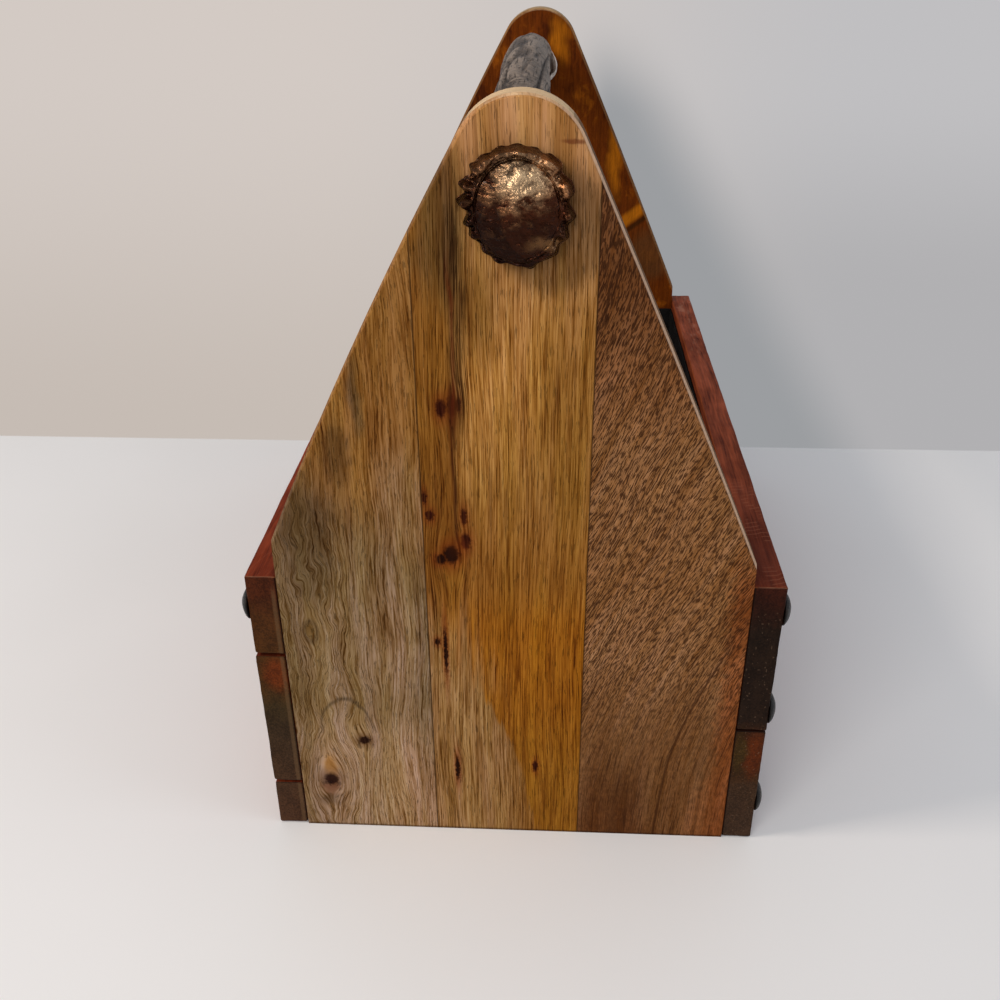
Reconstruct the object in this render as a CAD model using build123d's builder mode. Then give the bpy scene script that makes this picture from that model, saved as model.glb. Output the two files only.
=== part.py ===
from build123d import *

import os
from math import acos, atan, atan2, cos, sin

os.makedirs("parts", exist_ok=True)

# A wooden tool tote with an open bin over one long drawer and an antler carrying handle.
# Millimetres. +X runs along the tote, to the right of someone facing the drawer, -Y is
# the drawer side and +Z is up. The origin is on the floor, under the middle of the whole tote.

# ---- carcass ---------------------------------------------------------------------------
length = 400.0
width = 240.0
side_height = 151.5
board = 15.0
end_board = 15.0
corner_round = 1.5
foot_round = 3.5

# ---- outline of the end panels ---------------------------------------------------------
apex_height = 353.0
apex_radius = 25.5
apex_offset = 3.2
front_shoulder_rise = 18.5
rear_shoulder_rise = 11.0
front_bulge = 2.6
rear_bulge = 0.8
slope_chamfer = 1.4
front_seam = -38.2
rear_seam = 32.5

# ---- long sides, floor and base --------------------------------------------------------
back_joint_height = 70.0
bottom_rail_height = 28.0
top_rail_bottom = 108.0
floor_lap = 3.0
floor_thickness = 9.0
base_thickness = 10.0

# ---- felt lining of the bin ------------------------------------------------------------
lining = 1.5
lining_drop = 5.5

# ---- dome-headed nails -----------------------------------------------------------------
nail_head_radius = 8.0
nail_head_height = 5.0
nail_head_rim = 0.8
nail_radius = 1.4
nail_length = 27.0
nail_clearance = 0.05
low_nail_height = 23.0
rear_nail_drop = 15.5
front_nail_drop = 18.5

# ---- antler handle, its studs and the burr caps ----------------------------------------
handle_drop = 36.0
handle_offset = 2.5
handle_sway = -2.5
handle_rise = 23.0
handle_radii = (16.5, 13.8, 12.3, 11.3, 10.9, 10.6, 12.1)
stud_radius = 3.0
stud_in_beam = 32.0
stud_in_cap = 7.0
stud_clearance = 0.05
cap_radius = 18.5
cap_height = 12.5
cap_rim_height = 7.0
pearl_count = 14
pearl_radius = 4.0

# ---- drawer ----------------------------------------------------------------------------
front_gap = 0.8
closing_gap = 0.3
drawer_side_gap = 1.2
drawer_running_gap = 0.4
drawer_top_gap = 2.0
drawer_rear_gap = 4.0
drawer_side = 10.0
drawer_bottom_sheet = 4.0
drawer_bottom_lift = 5.0
groove_depth = 4.0

# ---- knob ------------------------------------------------------------------------------
rose_radius = 15.0
rose_thickness = 2.5
knob_stem_radius = 5.5
knob_stem_length = 10.0
knob_head_radius = 13.5
knob_head_height = 13.0
knob_flare_height = 5.0
knob_dome_height = 5.5
screw_radius = 2.0
screw_clearance = 0.1
screw_in_knob = 14.0
screw_head_radius = 4.5
screw_head_height = 2.8

# ---- places worked out from the sizes above ---------------------------------------------
knob_reach = rose_thickness + knob_stem_length + knob_head_height
front_face = -(knob_reach + width + nail_head_height) / 2 + knob_reach
back_face = front_face + width
front_inside = front_face + board
back_inside = back_face - board
middle = (front_face + back_face) / 2
end_inside = length / 2 - end_board
half_panel = width / 2 - board
front_shoulder = side_height + front_shoulder_rise
rear_shoulder = side_height + rear_shoulder_rise
floor_top = top_rail_bottom + floor_lap
floor_bottom = floor_top - floor_thickness
lining_top = side_height - lining_drop
nail_x = length / 2 - end_board / 2
nail_depth_in_end = nail_length - board
front_nail_height = side_height - front_nail_drop
top_nail_height = side_height - rear_nail_drop
rear_nail_heights = (low_nail_height, (low_nail_height + top_nail_height) / 2, top_nail_height)
handle_height = apex_height - handle_drop
handle_span = 2 * end_inside

drawer_front_low = bottom_rail_height + front_gap
drawer_front_high = top_rail_bottom - front_gap
drawer_front_back = front_inside - closing_gap
drawer_low = bottom_rail_height + drawer_running_gap
drawer_high = floor_bottom - drawer_top_gap
drawer_rear = back_inside - drawer_rear_gap
drawer_half = end_inside - drawer_side_gap
sheet_low = drawer_low + drawer_bottom_lift
sheet_high = sheet_low + drawer_bottom_sheet
knob_height = (drawer_front_low + drawer_front_high) / 2


def keep(piece, name):
    """Name a finished piece and write it."""
    piece.part.label = name
    export_step(piece.part, f"parts/{name}.step")


def drill_nail_holes(face_y, outward, places, depth):
    """Blind nail holes along Y, sunk from the face at face_y, one for each (x, z) place."""
    starts = [Plane(origin=(x, face_y, z), z_dir=(0, outward, 0)) for x, z in places]
    with Locations(*starts):
        Hole(radius=nail_radius + nail_clearance, depth=depth)


def block(low, high):
    """A plain board that fills the box between two corners."""
    size = [far - near for near, far in zip(low, high)]
    with BuildPart() as board_block:
        with Locations(low):
            Box(*size, align=(Align.MIN, Align.MIN, Align.MIN))
    return board_block


# ---- end panels --------------------------------------------------------------------------


def slope_end(side, shoulder, bulge):
    """Where a slope runs smoothly into the round apex, as (y, z) from the panel's middle line."""
    centre_z = apex_height - apex_radius
    across = half_panel - side * apex_offset
    drop = centre_z - shoulder
    reach = (across**2 + drop**2) ** 0.5
    straight = acos(apex_radius / reach) - atan2(drop, across)
    tangent = straight + 2 * atan(2 * bulge / reach)
    return (
        apex_offset + side * apex_radius * cos(tangent),
        centre_z + apex_radius * sin(tangent),
    )


def bulge_point(start, end, bulge):
    """The middle of a slope, pushed outwards from the straight line by its bulge."""
    across = end[0] - start[0]
    up = end[1] - start[1]
    reach = (across**2 + up**2) ** 0.5
    return (
        (start[0] + end[0]) / 2 - bulge * up / reach,
        (start[1] + end[1]) / 2 + bulge * across / reach,
    )


def end_strip(low_x, low_y, high_y, nail_side, nail_heights, studded):
    """One of the glued boards of an end panel: the panel's outline between two seams."""
    front_foot = (-half_panel, 0)
    rear_foot = (half_panel, 0)
    front_corner = (-half_panel, front_shoulder)
    rear_corner = (half_panel, rear_shoulder)
    front_top = slope_end(-1, front_shoulder, front_bulge)
    rear_top = slope_end(1, rear_shoulder, rear_bulge)
    apex = (apex_offset, apex_height)
    nail_x_here = low_x + end_board / 2
    with BuildPart() as strip:
        with BuildSketch(Plane(origin=(low_x, middle, 0), x_dir=(0, 1, 0), z_dir=(1, 0, 0))):
            with BuildLine():
                Line(front_foot, front_corner)
                ThreePointArc(front_corner, bulge_point(front_corner, front_top, front_bulge), front_top)
                ThreePointArc(front_top, apex, rear_top)
                ThreePointArc(rear_top, bulge_point(rear_top, rear_corner, rear_bulge), rear_corner)
                Line(rear_corner, rear_foot)
                Line(rear_foot, front_foot)
            make_face()
        extrude(amount=end_board)
        faces_x = (low_x, low_x + end_board)
        sloped = strip.edges().filter_by(
            lambda edge: edge.center().Z > rear_shoulder
            and any(abs(edge.center().X - x) < 0.01 for x in faces_x)
            and abs(edge.tangent_at(0.5).Y) > 0.01
        )
        chamfer(sloped, length=slope_chamfer)
        with Locations((low_x, middle + low_y, 0)):
            Box(
                end_board,
                high_y - low_y,
                apex_height,
                align=(Align.MIN, Align.MIN, Align.MIN),
                mode=Mode.INTERSECT,
            )
        if nail_side:
            edge_y = middle + nail_side * half_panel
            drill_nail_holes(edge_y, nail_side, [(nail_x_here, z) for z in nail_heights], nail_depth_in_end)
        if studded:
            with Locations(Plane(origin=(low_x, middle + handle_offset, handle_height), z_dir=(-1, 0, 0))):
                Hole(radius=stud_radius + stud_clearance, depth=end_board)
    return strip


end_places = {"right": end_inside, "left": -length / 2}
for side, low_x in end_places.items():
    front_strip = end_strip(low_x, -half_panel, front_seam, -1, [front_nail_height], False)
    keep(front_strip, f"{side}_end_board_front")
    middle_strip = end_strip(low_x, front_seam, rear_seam, 0, [], True)
    keep(middle_strip, f"{side}_end_board_middle")
    rear_strip = end_strip(low_x, rear_seam, half_panel, 1, rear_nail_heights, False)
    keep(rear_strip, f"{side}_end_board_rear")


# ---- long sides --------------------------------------------------------------------------


def side_board(outward, low_z, high_z, low_round, high_round, nail_heights):
    """A full-length board of the front or back, its outer long edges rounded."""
    outer_y = front_face if outward < 0 else back_face
    outer_group = 0 if outward < 0 else -1
    centre_y = outer_y - outward * board / 2
    with BuildPart() as long_board:
        with BuildSketch(Plane.YZ.offset(-length / 2)) as profile:
            with Locations((centre_y, (low_z + high_z) / 2)):
                Rectangle(board, high_z - low_z)
            outer_corners = profile.vertices().group_by(Axis.X)[outer_group].sort_by(Axis.Y)
            for corner, radius in zip(outer_corners, (low_round, high_round)):
                if radius:
                    fillet(corner, radius=radius)
        extrude(amount=length)
        if nail_heights:
            places = [(x, z) for x in (-nail_x, nail_x) for z in nail_heights]
            drill_nail_holes(outer_y, outward, places, board)
    return long_board


lower_nails = [z for z in rear_nail_heights if z < back_joint_height]
upper_nails = [z for z in rear_nail_heights if z >= back_joint_height]
keep(side_board(1, 0, back_joint_height, foot_round, 0, lower_nails), "back_board_lower")
keep(side_board(1, back_joint_height, side_height, 0, corner_round, upper_nails), "back_board_upper")
keep(side_board(-1, 0, bottom_rail_height, foot_round, 0, []), "front_bottom_rail")
keep(side_board(-1, top_rail_bottom, side_height, 0, corner_round, [front_nail_height]), "front_top_rail")


# ---- floor of the bin, base under the drawer ---------------------------------------------

bin_floor = block((-end_inside, front_inside, floor_bottom), (end_inside, back_inside, floor_top))
keep(bin_floor, "bin_floor")
base_board = block(
    (-end_inside, front_inside, bottom_rail_height - base_thickness),
    (end_inside, back_inside, bottom_rail_height),
)
keep(base_board, "base_board")


# ---- felt lining ---------------------------------------------------------------------------

felt_x = end_inside - lining
felt_front = front_inside + lining
felt_back = back_inside - lining
keep(block((felt_x, front_inside, floor_top), (end_inside, back_inside, lining_top)), "lining_right")
keep(block((-end_inside, front_inside, floor_top), (-felt_x, back_inside, lining_top)), "lining_left")
keep(block((-felt_x, front_inside, floor_top), (felt_x, felt_front, lining_top)), "lining_front")
keep(block((-felt_x, felt_back, floor_top), (felt_x, back_inside, lining_top)), "lining_back")
keep(block((-felt_x, felt_front, floor_top), (felt_x, felt_back, floor_top + lining)), "lining_floor")


# ---- dome-headed nails ---------------------------------------------------------------------


def dome_nails(face_y, outward, heights):
    """A group of nails in the two ends of a long side, each a domed head on a round shank."""
    with BuildPart() as nails:
        for x in (-nail_x, nail_x):
            for z in heights:
                seat = (x, face_y, z)
                with BuildSketch(Plane(origin=seat, x_dir=(1, 0, 0), z_dir=(0, 0, outward))):
                    with BuildLine():
                        Line((0, -nail_length), (nail_radius, -nail_length))
                        Line((nail_radius, -nail_length), (nail_radius, 0))
                        Line((nail_radius, 0), (nail_head_radius, 0))
                        Line((nail_head_radius, 0), (nail_head_radius, nail_head_rim))
                        TangentArc((0, nail_head_height), (nail_head_radius, nail_head_rim), tangent=(1, 0))
                        Line((0, nail_head_height), (0, -nail_length))
                    make_face()
                revolve(axis=Axis(seat, (0, outward, 0)))
    return nails


keep(dome_nails(back_face, 1, rear_nail_heights), "dome_nails_rear")
keep(dome_nails(front_face, -1, [front_nail_height]), "dome_nails_front")


# ---- antler handle -------------------------------------------------------------------------


def handle_point(share):
    """The middle line of the beam, from the right end (share 0) to the left end (share 1)."""
    arch = 4 * share * (1 - share)
    x = end_inside - share * handle_span
    return (x, middle + handle_offset + handle_sway * arch, handle_height + handle_rise * arch)


def handle_plane(share):
    """The plane of one section of the beam: square to its middle line, or flat on a panel."""
    if share in (0, 1):
        return Plane(origin=handle_point(share), x_dir=(0, 1, 0), z_dir=(-1, 0, 0))
    climb = 4 * handle_rise * (1 - 2 * share) / handle_span
    return Plane(origin=handle_point(share), x_dir=(0, 1, 0), z_dir=(-1, 0, climb))


with BuildPart() as handle_beam:
    last = len(handle_radii) - 1
    for number, radius in enumerate(handle_radii):
        with BuildSketch(handle_plane(number / last)):
            Circle(radius)
    loft()
    for outward in (1, -1):
        seat = (outward * end_inside, middle + handle_offset, handle_height)
        with Locations(Plane(origin=seat, z_dir=(outward, 0, 0))):
            Hole(radius=stud_radius + stud_clearance, depth=stud_in_beam)
keep(handle_beam, "handle_beam")


def handle_stud(outward):
    """A plain steel stud from the beam, through the end panel, into the burr cap."""
    inner_x = outward * (end_inside - stud_in_beam)
    with BuildPart() as stud:
        start = (inner_x, middle + handle_offset, handle_height)
        with BuildSketch(Plane(origin=start, z_dir=(outward, 0, 0))):
            Circle(stud_radius)
        extrude(amount=stud_in_beam + end_board + stud_in_cap)
    return stud


def burr_cap(outward):
    """The round base of an antler, sawn flat behind: a low dome inside a ring of pearls."""
    seat = Plane(
        origin=(outward * length / 2, middle + handle_offset, handle_height),
        x_dir=(0, 1, 0),
        z_dir=(outward, 0, 0),
    )
    profile_plane = Plane(origin=seat.origin, x_dir=(0, 1, 0), z_dir=(0, 0, -outward))
    with BuildPart() as cap:
        with BuildSketch(profile_plane):
            with BuildLine():
                Line((0, 0), (cap_radius, 0))
                Line((cap_radius, 0), (cap_radius, cap_rim_height))
                TangentArc((0, cap_height), (cap_radius, cap_rim_height), tangent=(1, 0))
                Line((0, cap_height), (0, 0))
            make_face()
        revolve(axis=Axis(seat.origin, (outward, 0, 0)))
        with Locations(seat.offset(cap_rim_height - pearl_radius / 2)):
            with PolarLocations(cap_radius - pearl_radius / 3, pearl_count):
                Sphere(pearl_radius)
        with Locations(Plane(origin=seat.origin, z_dir=(-outward, 0, 0))):
            Hole(radius=stud_radius + stud_clearance, depth=stud_in_cap)
    return cap


for side, outward in (("right", 1), ("left", -1)):
    keep(handle_stud(outward), f"handle_stud_{side}")
    keep(burr_cap(outward), f"burr_cap_{side}")


# ---- drawer --------------------------------------------------------------------------------

with BuildPart() as drawer_front:
    with Locations((-length / 2, front_face, drawer_front_low)):
        Box(
            length,
            drawer_front_back - front_face,
            drawer_front_high - drawer_front_low,
            align=(Align.MIN, Align.MIN, Align.MIN),
        )
    fillet(drawer_front.edges().filter_by(Axis.X).group_by(Axis.Y)[0], radius=corner_round / 2)
    with Locations((0, drawer_front_back - groove_depth / 2, (sheet_low + sheet_high) / 2)):
        Box(
            2 * (drawer_half - drawer_side + groove_depth),
            groove_depth,
            drawer_bottom_sheet,
            mode=Mode.SUBTRACT,
        )
    with Locations(Plane(origin=(0, front_face, knob_height), z_dir=(0, -1, 0))):
        Hole(radius=screw_radius + screw_clearance)
keep(drawer_front, "drawer_front")


def drawer_side_board(outward):
    """A side of the drawer, with the groove that holds the bottom sheet."""
    centre_x = outward * (drawer_half - drawer_side / 2)
    groove_x = outward * (drawer_half - drawer_side + groove_depth / 2)
    middle_y = (drawer_front_back + drawer_rear) / 2
    depth = drawer_rear - drawer_front_back
    with BuildPart() as side_piece:
        with Locations((centre_x, middle_y, (drawer_low + drawer_high) / 2)):
            Box(drawer_side, depth, drawer_high - drawer_low)
        with Locations((groove_x, middle_y, (sheet_low + sheet_high) / 2)):
            Box(groove_depth, depth, drawer_bottom_sheet, mode=Mode.SUBTRACT)
    return side_piece


for side, outward in (("right", 1), ("left", -1)):
    keep(drawer_side_board(outward), f"drawer_side_{side}")

drawer_inside = drawer_half - drawer_side
drawer_back = block(
    (-drawer_inside, drawer_rear - drawer_side, sheet_high),
    (drawer_inside, drawer_rear, drawer_high),
)
keep(drawer_back, "drawer_back")
drawer_bottom = block(
    (-drawer_inside - groove_depth, drawer_front_back - groove_depth, sheet_low),
    (drawer_inside + groove_depth, drawer_rear, sheet_high),
)
keep(drawer_bottom, "drawer_bottom")


# ---- knob ----------------------------------------------------------------------------------

knob_plane = Plane(origin=(0, front_face, knob_height), x_dir=(1, 0, 0), z_dir=(0, -1, 0))

with BuildPart() as knob_rose:
    with BuildSketch(knob_plane):
        Circle(rose_radius)
        Circle(screw_radius + screw_clearance, mode=Mode.SUBTRACT)
    extrude(amount=rose_thickness)
    fillet(knob_rose.edges().group_by(Axis.Y)[0].sort_by(SortBy.RADIUS)[-1], radius=rose_thickness / 2)
keep(knob_rose, "knob_rose")

with BuildPart() as drawer_knob:
    with BuildSketch(Plane(origin=knob_plane.origin, x_dir=(1, 0, 0), z_dir=(0, 0, -1))):
        with BuildLine():
            stem_end = rose_thickness + knob_stem_length
            Line((0, rose_thickness), (knob_stem_radius, rose_thickness))
            Line((knob_stem_radius, rose_thickness), (knob_stem_radius, stem_end))
            Line((knob_stem_radius, stem_end), (knob_head_radius, stem_end + knob_flare_height))
            rim = (knob_head_radius, knob_reach - knob_dome_height)
            Line((knob_head_radius, stem_end + knob_flare_height), rim)
            TangentArc((0, knob_reach), rim, tangent=(1, 0))
            Line((0, knob_reach), (0, rose_thickness))
        make_face()
    revolve(axis=Axis(knob_plane.origin, (0, -1, 0)))
    with Locations(Plane(origin=(0, front_face - rose_thickness, knob_height), z_dir=(0, 1, 0))):
        Hole(radius=screw_radius + screw_clearance, depth=screw_in_knob)
keep(drawer_knob, "drawer_knob")

with BuildPart() as knob_screw:
    with BuildSketch(Plane(origin=(0, drawer_front_back, knob_height), x_dir=(1, 0, 0), z_dir=(0, 1, 0))):
        Circle(screw_head_radius)
    extrude(amount=screw_head_height)
    fillet(knob_screw.edges().group_by(Axis.Y)[-1], radius=screw_head_height / 2)
    with BuildSketch(Plane(origin=(0, drawer_front_back, knob_height), x_dir=(1, 0, 0), z_dir=(0, -1, 0))):
        Circle(screw_radius)
    extrude(amount=drawer_front_back - front_face + rose_thickness + screw_in_knob)
keep(knob_screw, "knob_screw")
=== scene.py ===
"""Wooden tool tote with a drawer: its woods, antler, iron and felt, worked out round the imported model."""

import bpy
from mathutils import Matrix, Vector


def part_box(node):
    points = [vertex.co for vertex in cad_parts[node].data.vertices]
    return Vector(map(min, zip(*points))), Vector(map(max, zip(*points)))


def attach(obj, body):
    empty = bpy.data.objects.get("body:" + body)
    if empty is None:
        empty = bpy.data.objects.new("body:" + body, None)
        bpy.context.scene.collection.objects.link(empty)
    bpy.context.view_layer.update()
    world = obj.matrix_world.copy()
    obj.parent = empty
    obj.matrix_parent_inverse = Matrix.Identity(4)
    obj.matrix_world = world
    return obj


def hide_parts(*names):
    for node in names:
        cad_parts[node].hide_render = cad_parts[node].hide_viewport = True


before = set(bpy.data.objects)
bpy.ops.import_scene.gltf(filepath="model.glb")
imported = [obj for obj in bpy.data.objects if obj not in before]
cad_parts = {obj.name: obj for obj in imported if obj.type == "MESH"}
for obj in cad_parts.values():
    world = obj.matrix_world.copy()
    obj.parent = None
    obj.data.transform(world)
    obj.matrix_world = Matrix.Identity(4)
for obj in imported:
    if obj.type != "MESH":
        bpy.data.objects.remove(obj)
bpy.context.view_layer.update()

import math

import bpy
import numpy as np
from bpy.props import FloatProperty, FloatVectorProperty, PointerProperty
from mathutils import Matrix, Vector

bl_info = {
    "name": "Wooden Tool Tote",
    "version": (1, 0, 0),
    "blender": (4, 5, 0),
    "location": "3D View > Sidebar > Tote",
    "description": "Worn woods, antler, iron and felt of a tool tote with a drawer",
    "category": "Object",
}

MM = 0.001

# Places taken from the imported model, in millimetres.
PANEL_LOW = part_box("right_end_board_front")[0] / MM
PANEL_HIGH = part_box("right_end_board_rear")[1] / MM
MIDDLE = (PANEL_LOW.y + PANEL_HIGH.y) / 2
HALF_LENGTH = PANEL_HIGH.x
END_BOARD = PANEL_HIGH.x - PANEL_LOW.x
FRONT_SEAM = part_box("right_end_board_front")[1].y / MM - MIDDLE
REAR_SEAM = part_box("right_end_board_rear")[0].y / MM - MIDDLE
STUD_LOW, STUD_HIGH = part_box("handle_stud_right")
CAP_ACROSS = (STUD_LOW.y + STUD_HIGH.y) / 2 / MM
CAP_UP = (STUD_LOW.z + STUD_HIGH.z) / 2 / MM


def on_cap(across, up):
    """A place on an end board, given from the middle of the burr."""
    return CAP_ACROSS + across, CAP_UP + up


def tone(red, green, blue):
    """A colour given as three display values from 0 to 255, as the linear light that shaders take."""

    def linear(value):
        share = value / 255
        return share / 12.92 if share <= 0.04045 else ((share + 0.055) / 1.055) ** 2.4

    return (linear(red), linear(green), linear(blue))


# --- numbers into surfaces


AXIS_FACTORS = (73856093, 19349663, 83492791)
SEED_FACTOR, SEED_LIMIT = 2654435761, 4294967291
MIXING_FACTOR = 1274126177
HALF_RANGE = 0x7FFFFF
LATTICE_SHIFT = 4096.5


def hashed(cell, seed):
    """A fixed number from -1 to 1 for each whole-numbered lattice point: the three numbers and the
    seed are multiplied by large odd numbers, mixed bit by bit, and scaled."""
    mixed = np.uint64(seed * SEED_FACTOR % SEED_LIMIT)
    for axis, factor in enumerate(AXIS_FACTORS):
        mixed = mixed ^ cell[..., axis].astype(np.uint64) * np.uint64(factor)
    mixed = (mixed ^ (mixed >> np.uint64(13))) * np.uint64(MIXING_FACTOR)
    mixed = (mixed ^ (mixed >> np.uint64(16))) & np.uint64(2 * HALF_RANGE + 1)
    return mixed.astype(float) / HALF_RANGE - 1


def ripple(points, size, seed):
    """Smooth noise from -1 to 1 at each point: the eight lattice values round the point, a lattice
    of the given size, blended along each axis by 3t^2 - 2t^3."""
    cell = np.asarray(points) / size + LATTICE_SHIFT
    base = np.floor(cell)
    part = cell - base
    part = part * part * (3 - 2 * part)
    total = np.zeros(cell.shape[:-1])
    for corner in range(8):
        step = np.array([corner >> 2 & 1, corner >> 1 & 1, corner & 1])
        weight = np.prod(np.where(step == 1, part, 1 - part), axis=-1)
        total += weight * hashed(base + step, seed)
    return total


def rough(points, size, seed, layers=3):
    """Rough noise from about -1 to 1: ripples added up, each half the size and half the height."""
    total = 0
    for layer in range(layers):
        total = total + ripple(points, np.asarray(size) / 2**layer, seed + 7 * layer) / 2**layer
    return total / 1.6


def smooth_step(value, low, high):
    """0 below low and 1 above high, and 3t^2 - 2t^3 between them."""
    share = np.clip((value - low) / (high - low), 0, 1)
    return share * share * (3 - 2 * share)


def ring_shell(rings, marks=None):
    """A closed surface through rings of points, an array of (ring, point, xyz): neighbours are
    joined by four-sided faces, and the first and last ring are closed by fans onto their middle
    point. The faces are turned round where the volume they enclose, a sixth of the sum of
    a . (b x c) over the triangles, comes out negative. Marks are values carried by the points."""
    count, around = rings.shape[:2]
    verts = np.vstack([rings[0].mean(0), rings.reshape(-1, 3), rings[-1].mean(0)])
    index = 1 + np.arange(count * around).reshape(count, around)
    after = np.roll(index, -1, axis=1)
    quads = np.stack([index[:-1], after[:-1], after[1:], index[1:]], axis=-1).reshape(-1, 4)
    first = np.stack([0 * index[0], after[0], index[0]], axis=-1)
    last = np.stack([0 * index[0] + len(verts) - 1, index[-1], after[-1]], axis=-1)
    corners = np.vstack([quads[:, :3], quads[:, [0, 2, 3]], first, last])
    a, b, c = (verts[corners[:, k]] for k in range(3))
    if np.einsum("ij,ij->i", a, np.cross(b, c)).sum() < 0:
        quads, first, last = quads[:, ::-1], first[:, ::-1], last[:, ::-1]
    spread = {}
    for name, value in (marks or {}).items():
        spread[name] = np.concatenate([[value[0].mean()], value.ravel(), [value[-1].mean()]])
    return verts, [quads, np.vstack([first, last])], spread


def add_object(name, data):
    """A new object in the scene."""
    made = bpy.data.objects.new(name, data)
    bpy.context.scene.collection.objects.link(made)
    return made


def place_piece(name, shells, material, body, nodes):
    """Joins closed shells, in millimetres, into one mesh object at the origin, smooth shaded, with
    its material, ties it to its body and hides the nodes of the model that it stands for."""
    verts, faces, marks, offset = [], [], {}, 0
    for points, groups, spread in shells:
        verts.append(points * MM)
        for group in groups:
            faces += (group + offset).tolist()
        for key, value in spread.items():
            marks.setdefault(key, []).append(value)
        offset += len(points)
    mesh = bpy.data.meshes.new(name)
    mesh.from_pydata(np.vstack(verts).tolist(), [], faces)
    mesh.polygons.foreach_set("use_smooth", np.ones(len(faces), bool))
    for key, values in marks.items():
        attribute = mesh.attributes.new(key, "FLOAT", "POINT")
        attribute.data.foreach_set("value", np.concatenate(values).astype(np.float32))
    mesh.materials.append(material)
    mesh.update()
    piece = add_object(name, mesh)
    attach(piece, body)
    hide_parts(*nodes)
    return piece


def dress(node_name, material):
    """Gives a node of the model its material, through the object's own slots."""
    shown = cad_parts[node_name]
    if not shown.material_slots:
        raise RuntimeError(f"{node_name} has no material slot to dress")
    for held in shown.material_slots:
        held.link = "OBJECT"
        held.material = material


# --- materials


class Wire:
    """One value inside a material, which adds, subtracts, multiplies and divides as a number does."""

    def __init__(self, tree, socket):
        self.tree = tree
        self.socket = socket


def arithmetic(operation, swapped=False):
    """The method that makes a wire work as a number in one kind of sum."""

    def joined(wire, other):
        return maths(operation, other, wire) if swapped else maths(operation, wire, other)

    return joined


for sign, operation in (("add", "ADD"), ("sub", "SUBTRACT"), ("mul", "MULTIPLY"), ("truediv", "DIVIDE")):
    setattr(Wire, f"__{sign}__", arithmetic(operation))
    setattr(Wire, f"__r{sign}__", arithmetic(operation, True))


def plug(tree, socket, value):
    """Joins a wire to a socket, or sets the socket to a plain number or colour."""
    if isinstance(value, Wire):
        tree.links.new(value.socket, socket)
    elif socket.type == "RGBA" and len(value) == 3:
        socket.default_value = (*value, 1)
    else:
        socket.default_value = value


def node(kind, inputs, output=0, tree=None, **settings):
    """A new node's output. The node joins the tree that its wired inputs belong to."""
    if tree is None:
        tree = next(value.tree for value in inputs.values() if isinstance(value, Wire))
    made = tree.nodes.new(kind)
    for name, value in settings.items():
        setattr(made, name, value)
    for key, value in inputs.items():
        plug(tree, made.inputs[key], value)
    return Wire(tree, made.outputs[output])


def maths(operation, *values):
    return node("ShaderNodeMath", dict(enumerate(values)), operation=operation)


def vector_maths(operation, *values, output=0):
    return node("ShaderNodeVectorMath", dict(enumerate(values)), output, operation=operation)


def vector(x, y, z):
    return node("ShaderNodeCombineXYZ", {0: x, 1: y, 2: z})


def parts(point):
    outputs = node("ShaderNodeSeparateXYZ", {0: point}).socket.node.outputs
    return [Wire(point.tree, outputs[axis]) for axis in range(3)]


def stretched(point, factors, shift=(0, 0, 0)):
    return vector_maths("MULTIPLY_ADD", point, factors, shift)


def new_paint(name):
    """A new material with its nodes."""
    paint = bpy.data.materials.new(name)
    paint.use_nodes = True
    return paint


def place(paint):
    """A point of the piece in millimetres, with its width counted from the tote's middle."""
    point = node("ShaderNodeTexCoord", {}, "Object", paint.node_tree)
    return stretched(point, (1 / MM,) * 3, (0, -MIDDLE, 0))


def facing(paint):
    """How squarely the surface faces along x, from 0 to 1, and the signed z of its direction."""
    x, _, z = parts(node("ShaderNodeNewGeometry", {}, "True Normal", paint.node_tree))
    return maths("ABSOLUTE", x), z


def carried(paint, name):
    return node("ShaderNodeAttribute", {}, "Fac", paint.node_tree, attribute_name=name)


def between(value, low, high, to_low=0, to_high=1, smooth=True):
    """to_low at low and to_high at high, eased at both ends; low may be the larger one."""
    kind = "SMOOTHSTEP" if smooth else "LINEAR"
    inputs = {"Value": value, "From Min": low, "From Max": high, "To Min": to_low, "To Max": to_high}
    return node("ShaderNodeMapRange", inputs, interpolation_type=kind)


def noise(point, size, detail=2, roughness=0.5, shift=(0, 0, 0), swirl=0):
    """Smooth noise from about 0.2 to 0.8, in marks of the given size in millimetres."""
    scaled = stretched(point, tuple(1 / extent for extent in size), shift)
    inputs = {"Vector": scaled, "Scale": 1, "Detail": detail, "Roughness": roughness, "Distortion": swirl}
    return node("ShaderNodeTexNoise", inputs)


def distance(point, centre, radii):
    """How far a point is from centre, across and up, counted in radii, so 1 is on the ellipse."""
    shift = (0, -centre[0] / radii[0], -centre[1] / radii[1])
    scaled = stretched(point, (0, 1 / radii[0], 1 / radii[1]), shift)
    return vector_maths("LENGTH", scaled, output="Value")


def spot(point, centre, radii, soft=0.5):
    """1 inside an ellipse and 0 outside, eased over the soft share of its radius."""
    return between(distance(point, centre, radii), 1 + soft, 1 - soft)


def hill(point, centre, radii):
    """exp(-d^2), where d is the distance from centre counted in radii."""
    away = distance(point, centre, radii)
    return maths("EXPONENT", away * away * -1)


def line(value, at, width, soft=0.5):
    """1 where value is within width of at, and 0 further off."""
    return between(maths("ABSOLUTE", value - at), width * (1 + soft), width * (1 - soft))


def ragged(point, size, amount, shift=(0, 0, 0)):
    """The point, moved about by noise, so that spots drawn on it have ragged outlines."""
    scaled = stretched(point, (1 / size,) * 3, shift)
    moves = node("ShaderNodeTexNoise", {"Vector": scaled, "Scale": 1, "Detail": 2}, "Color")
    moved = vector_maths("MULTIPLY_ADD", moves, (amount,) * 3, point)
    return stretched(moved, (1,) * 3, (-amount / 2,) * 3)


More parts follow.
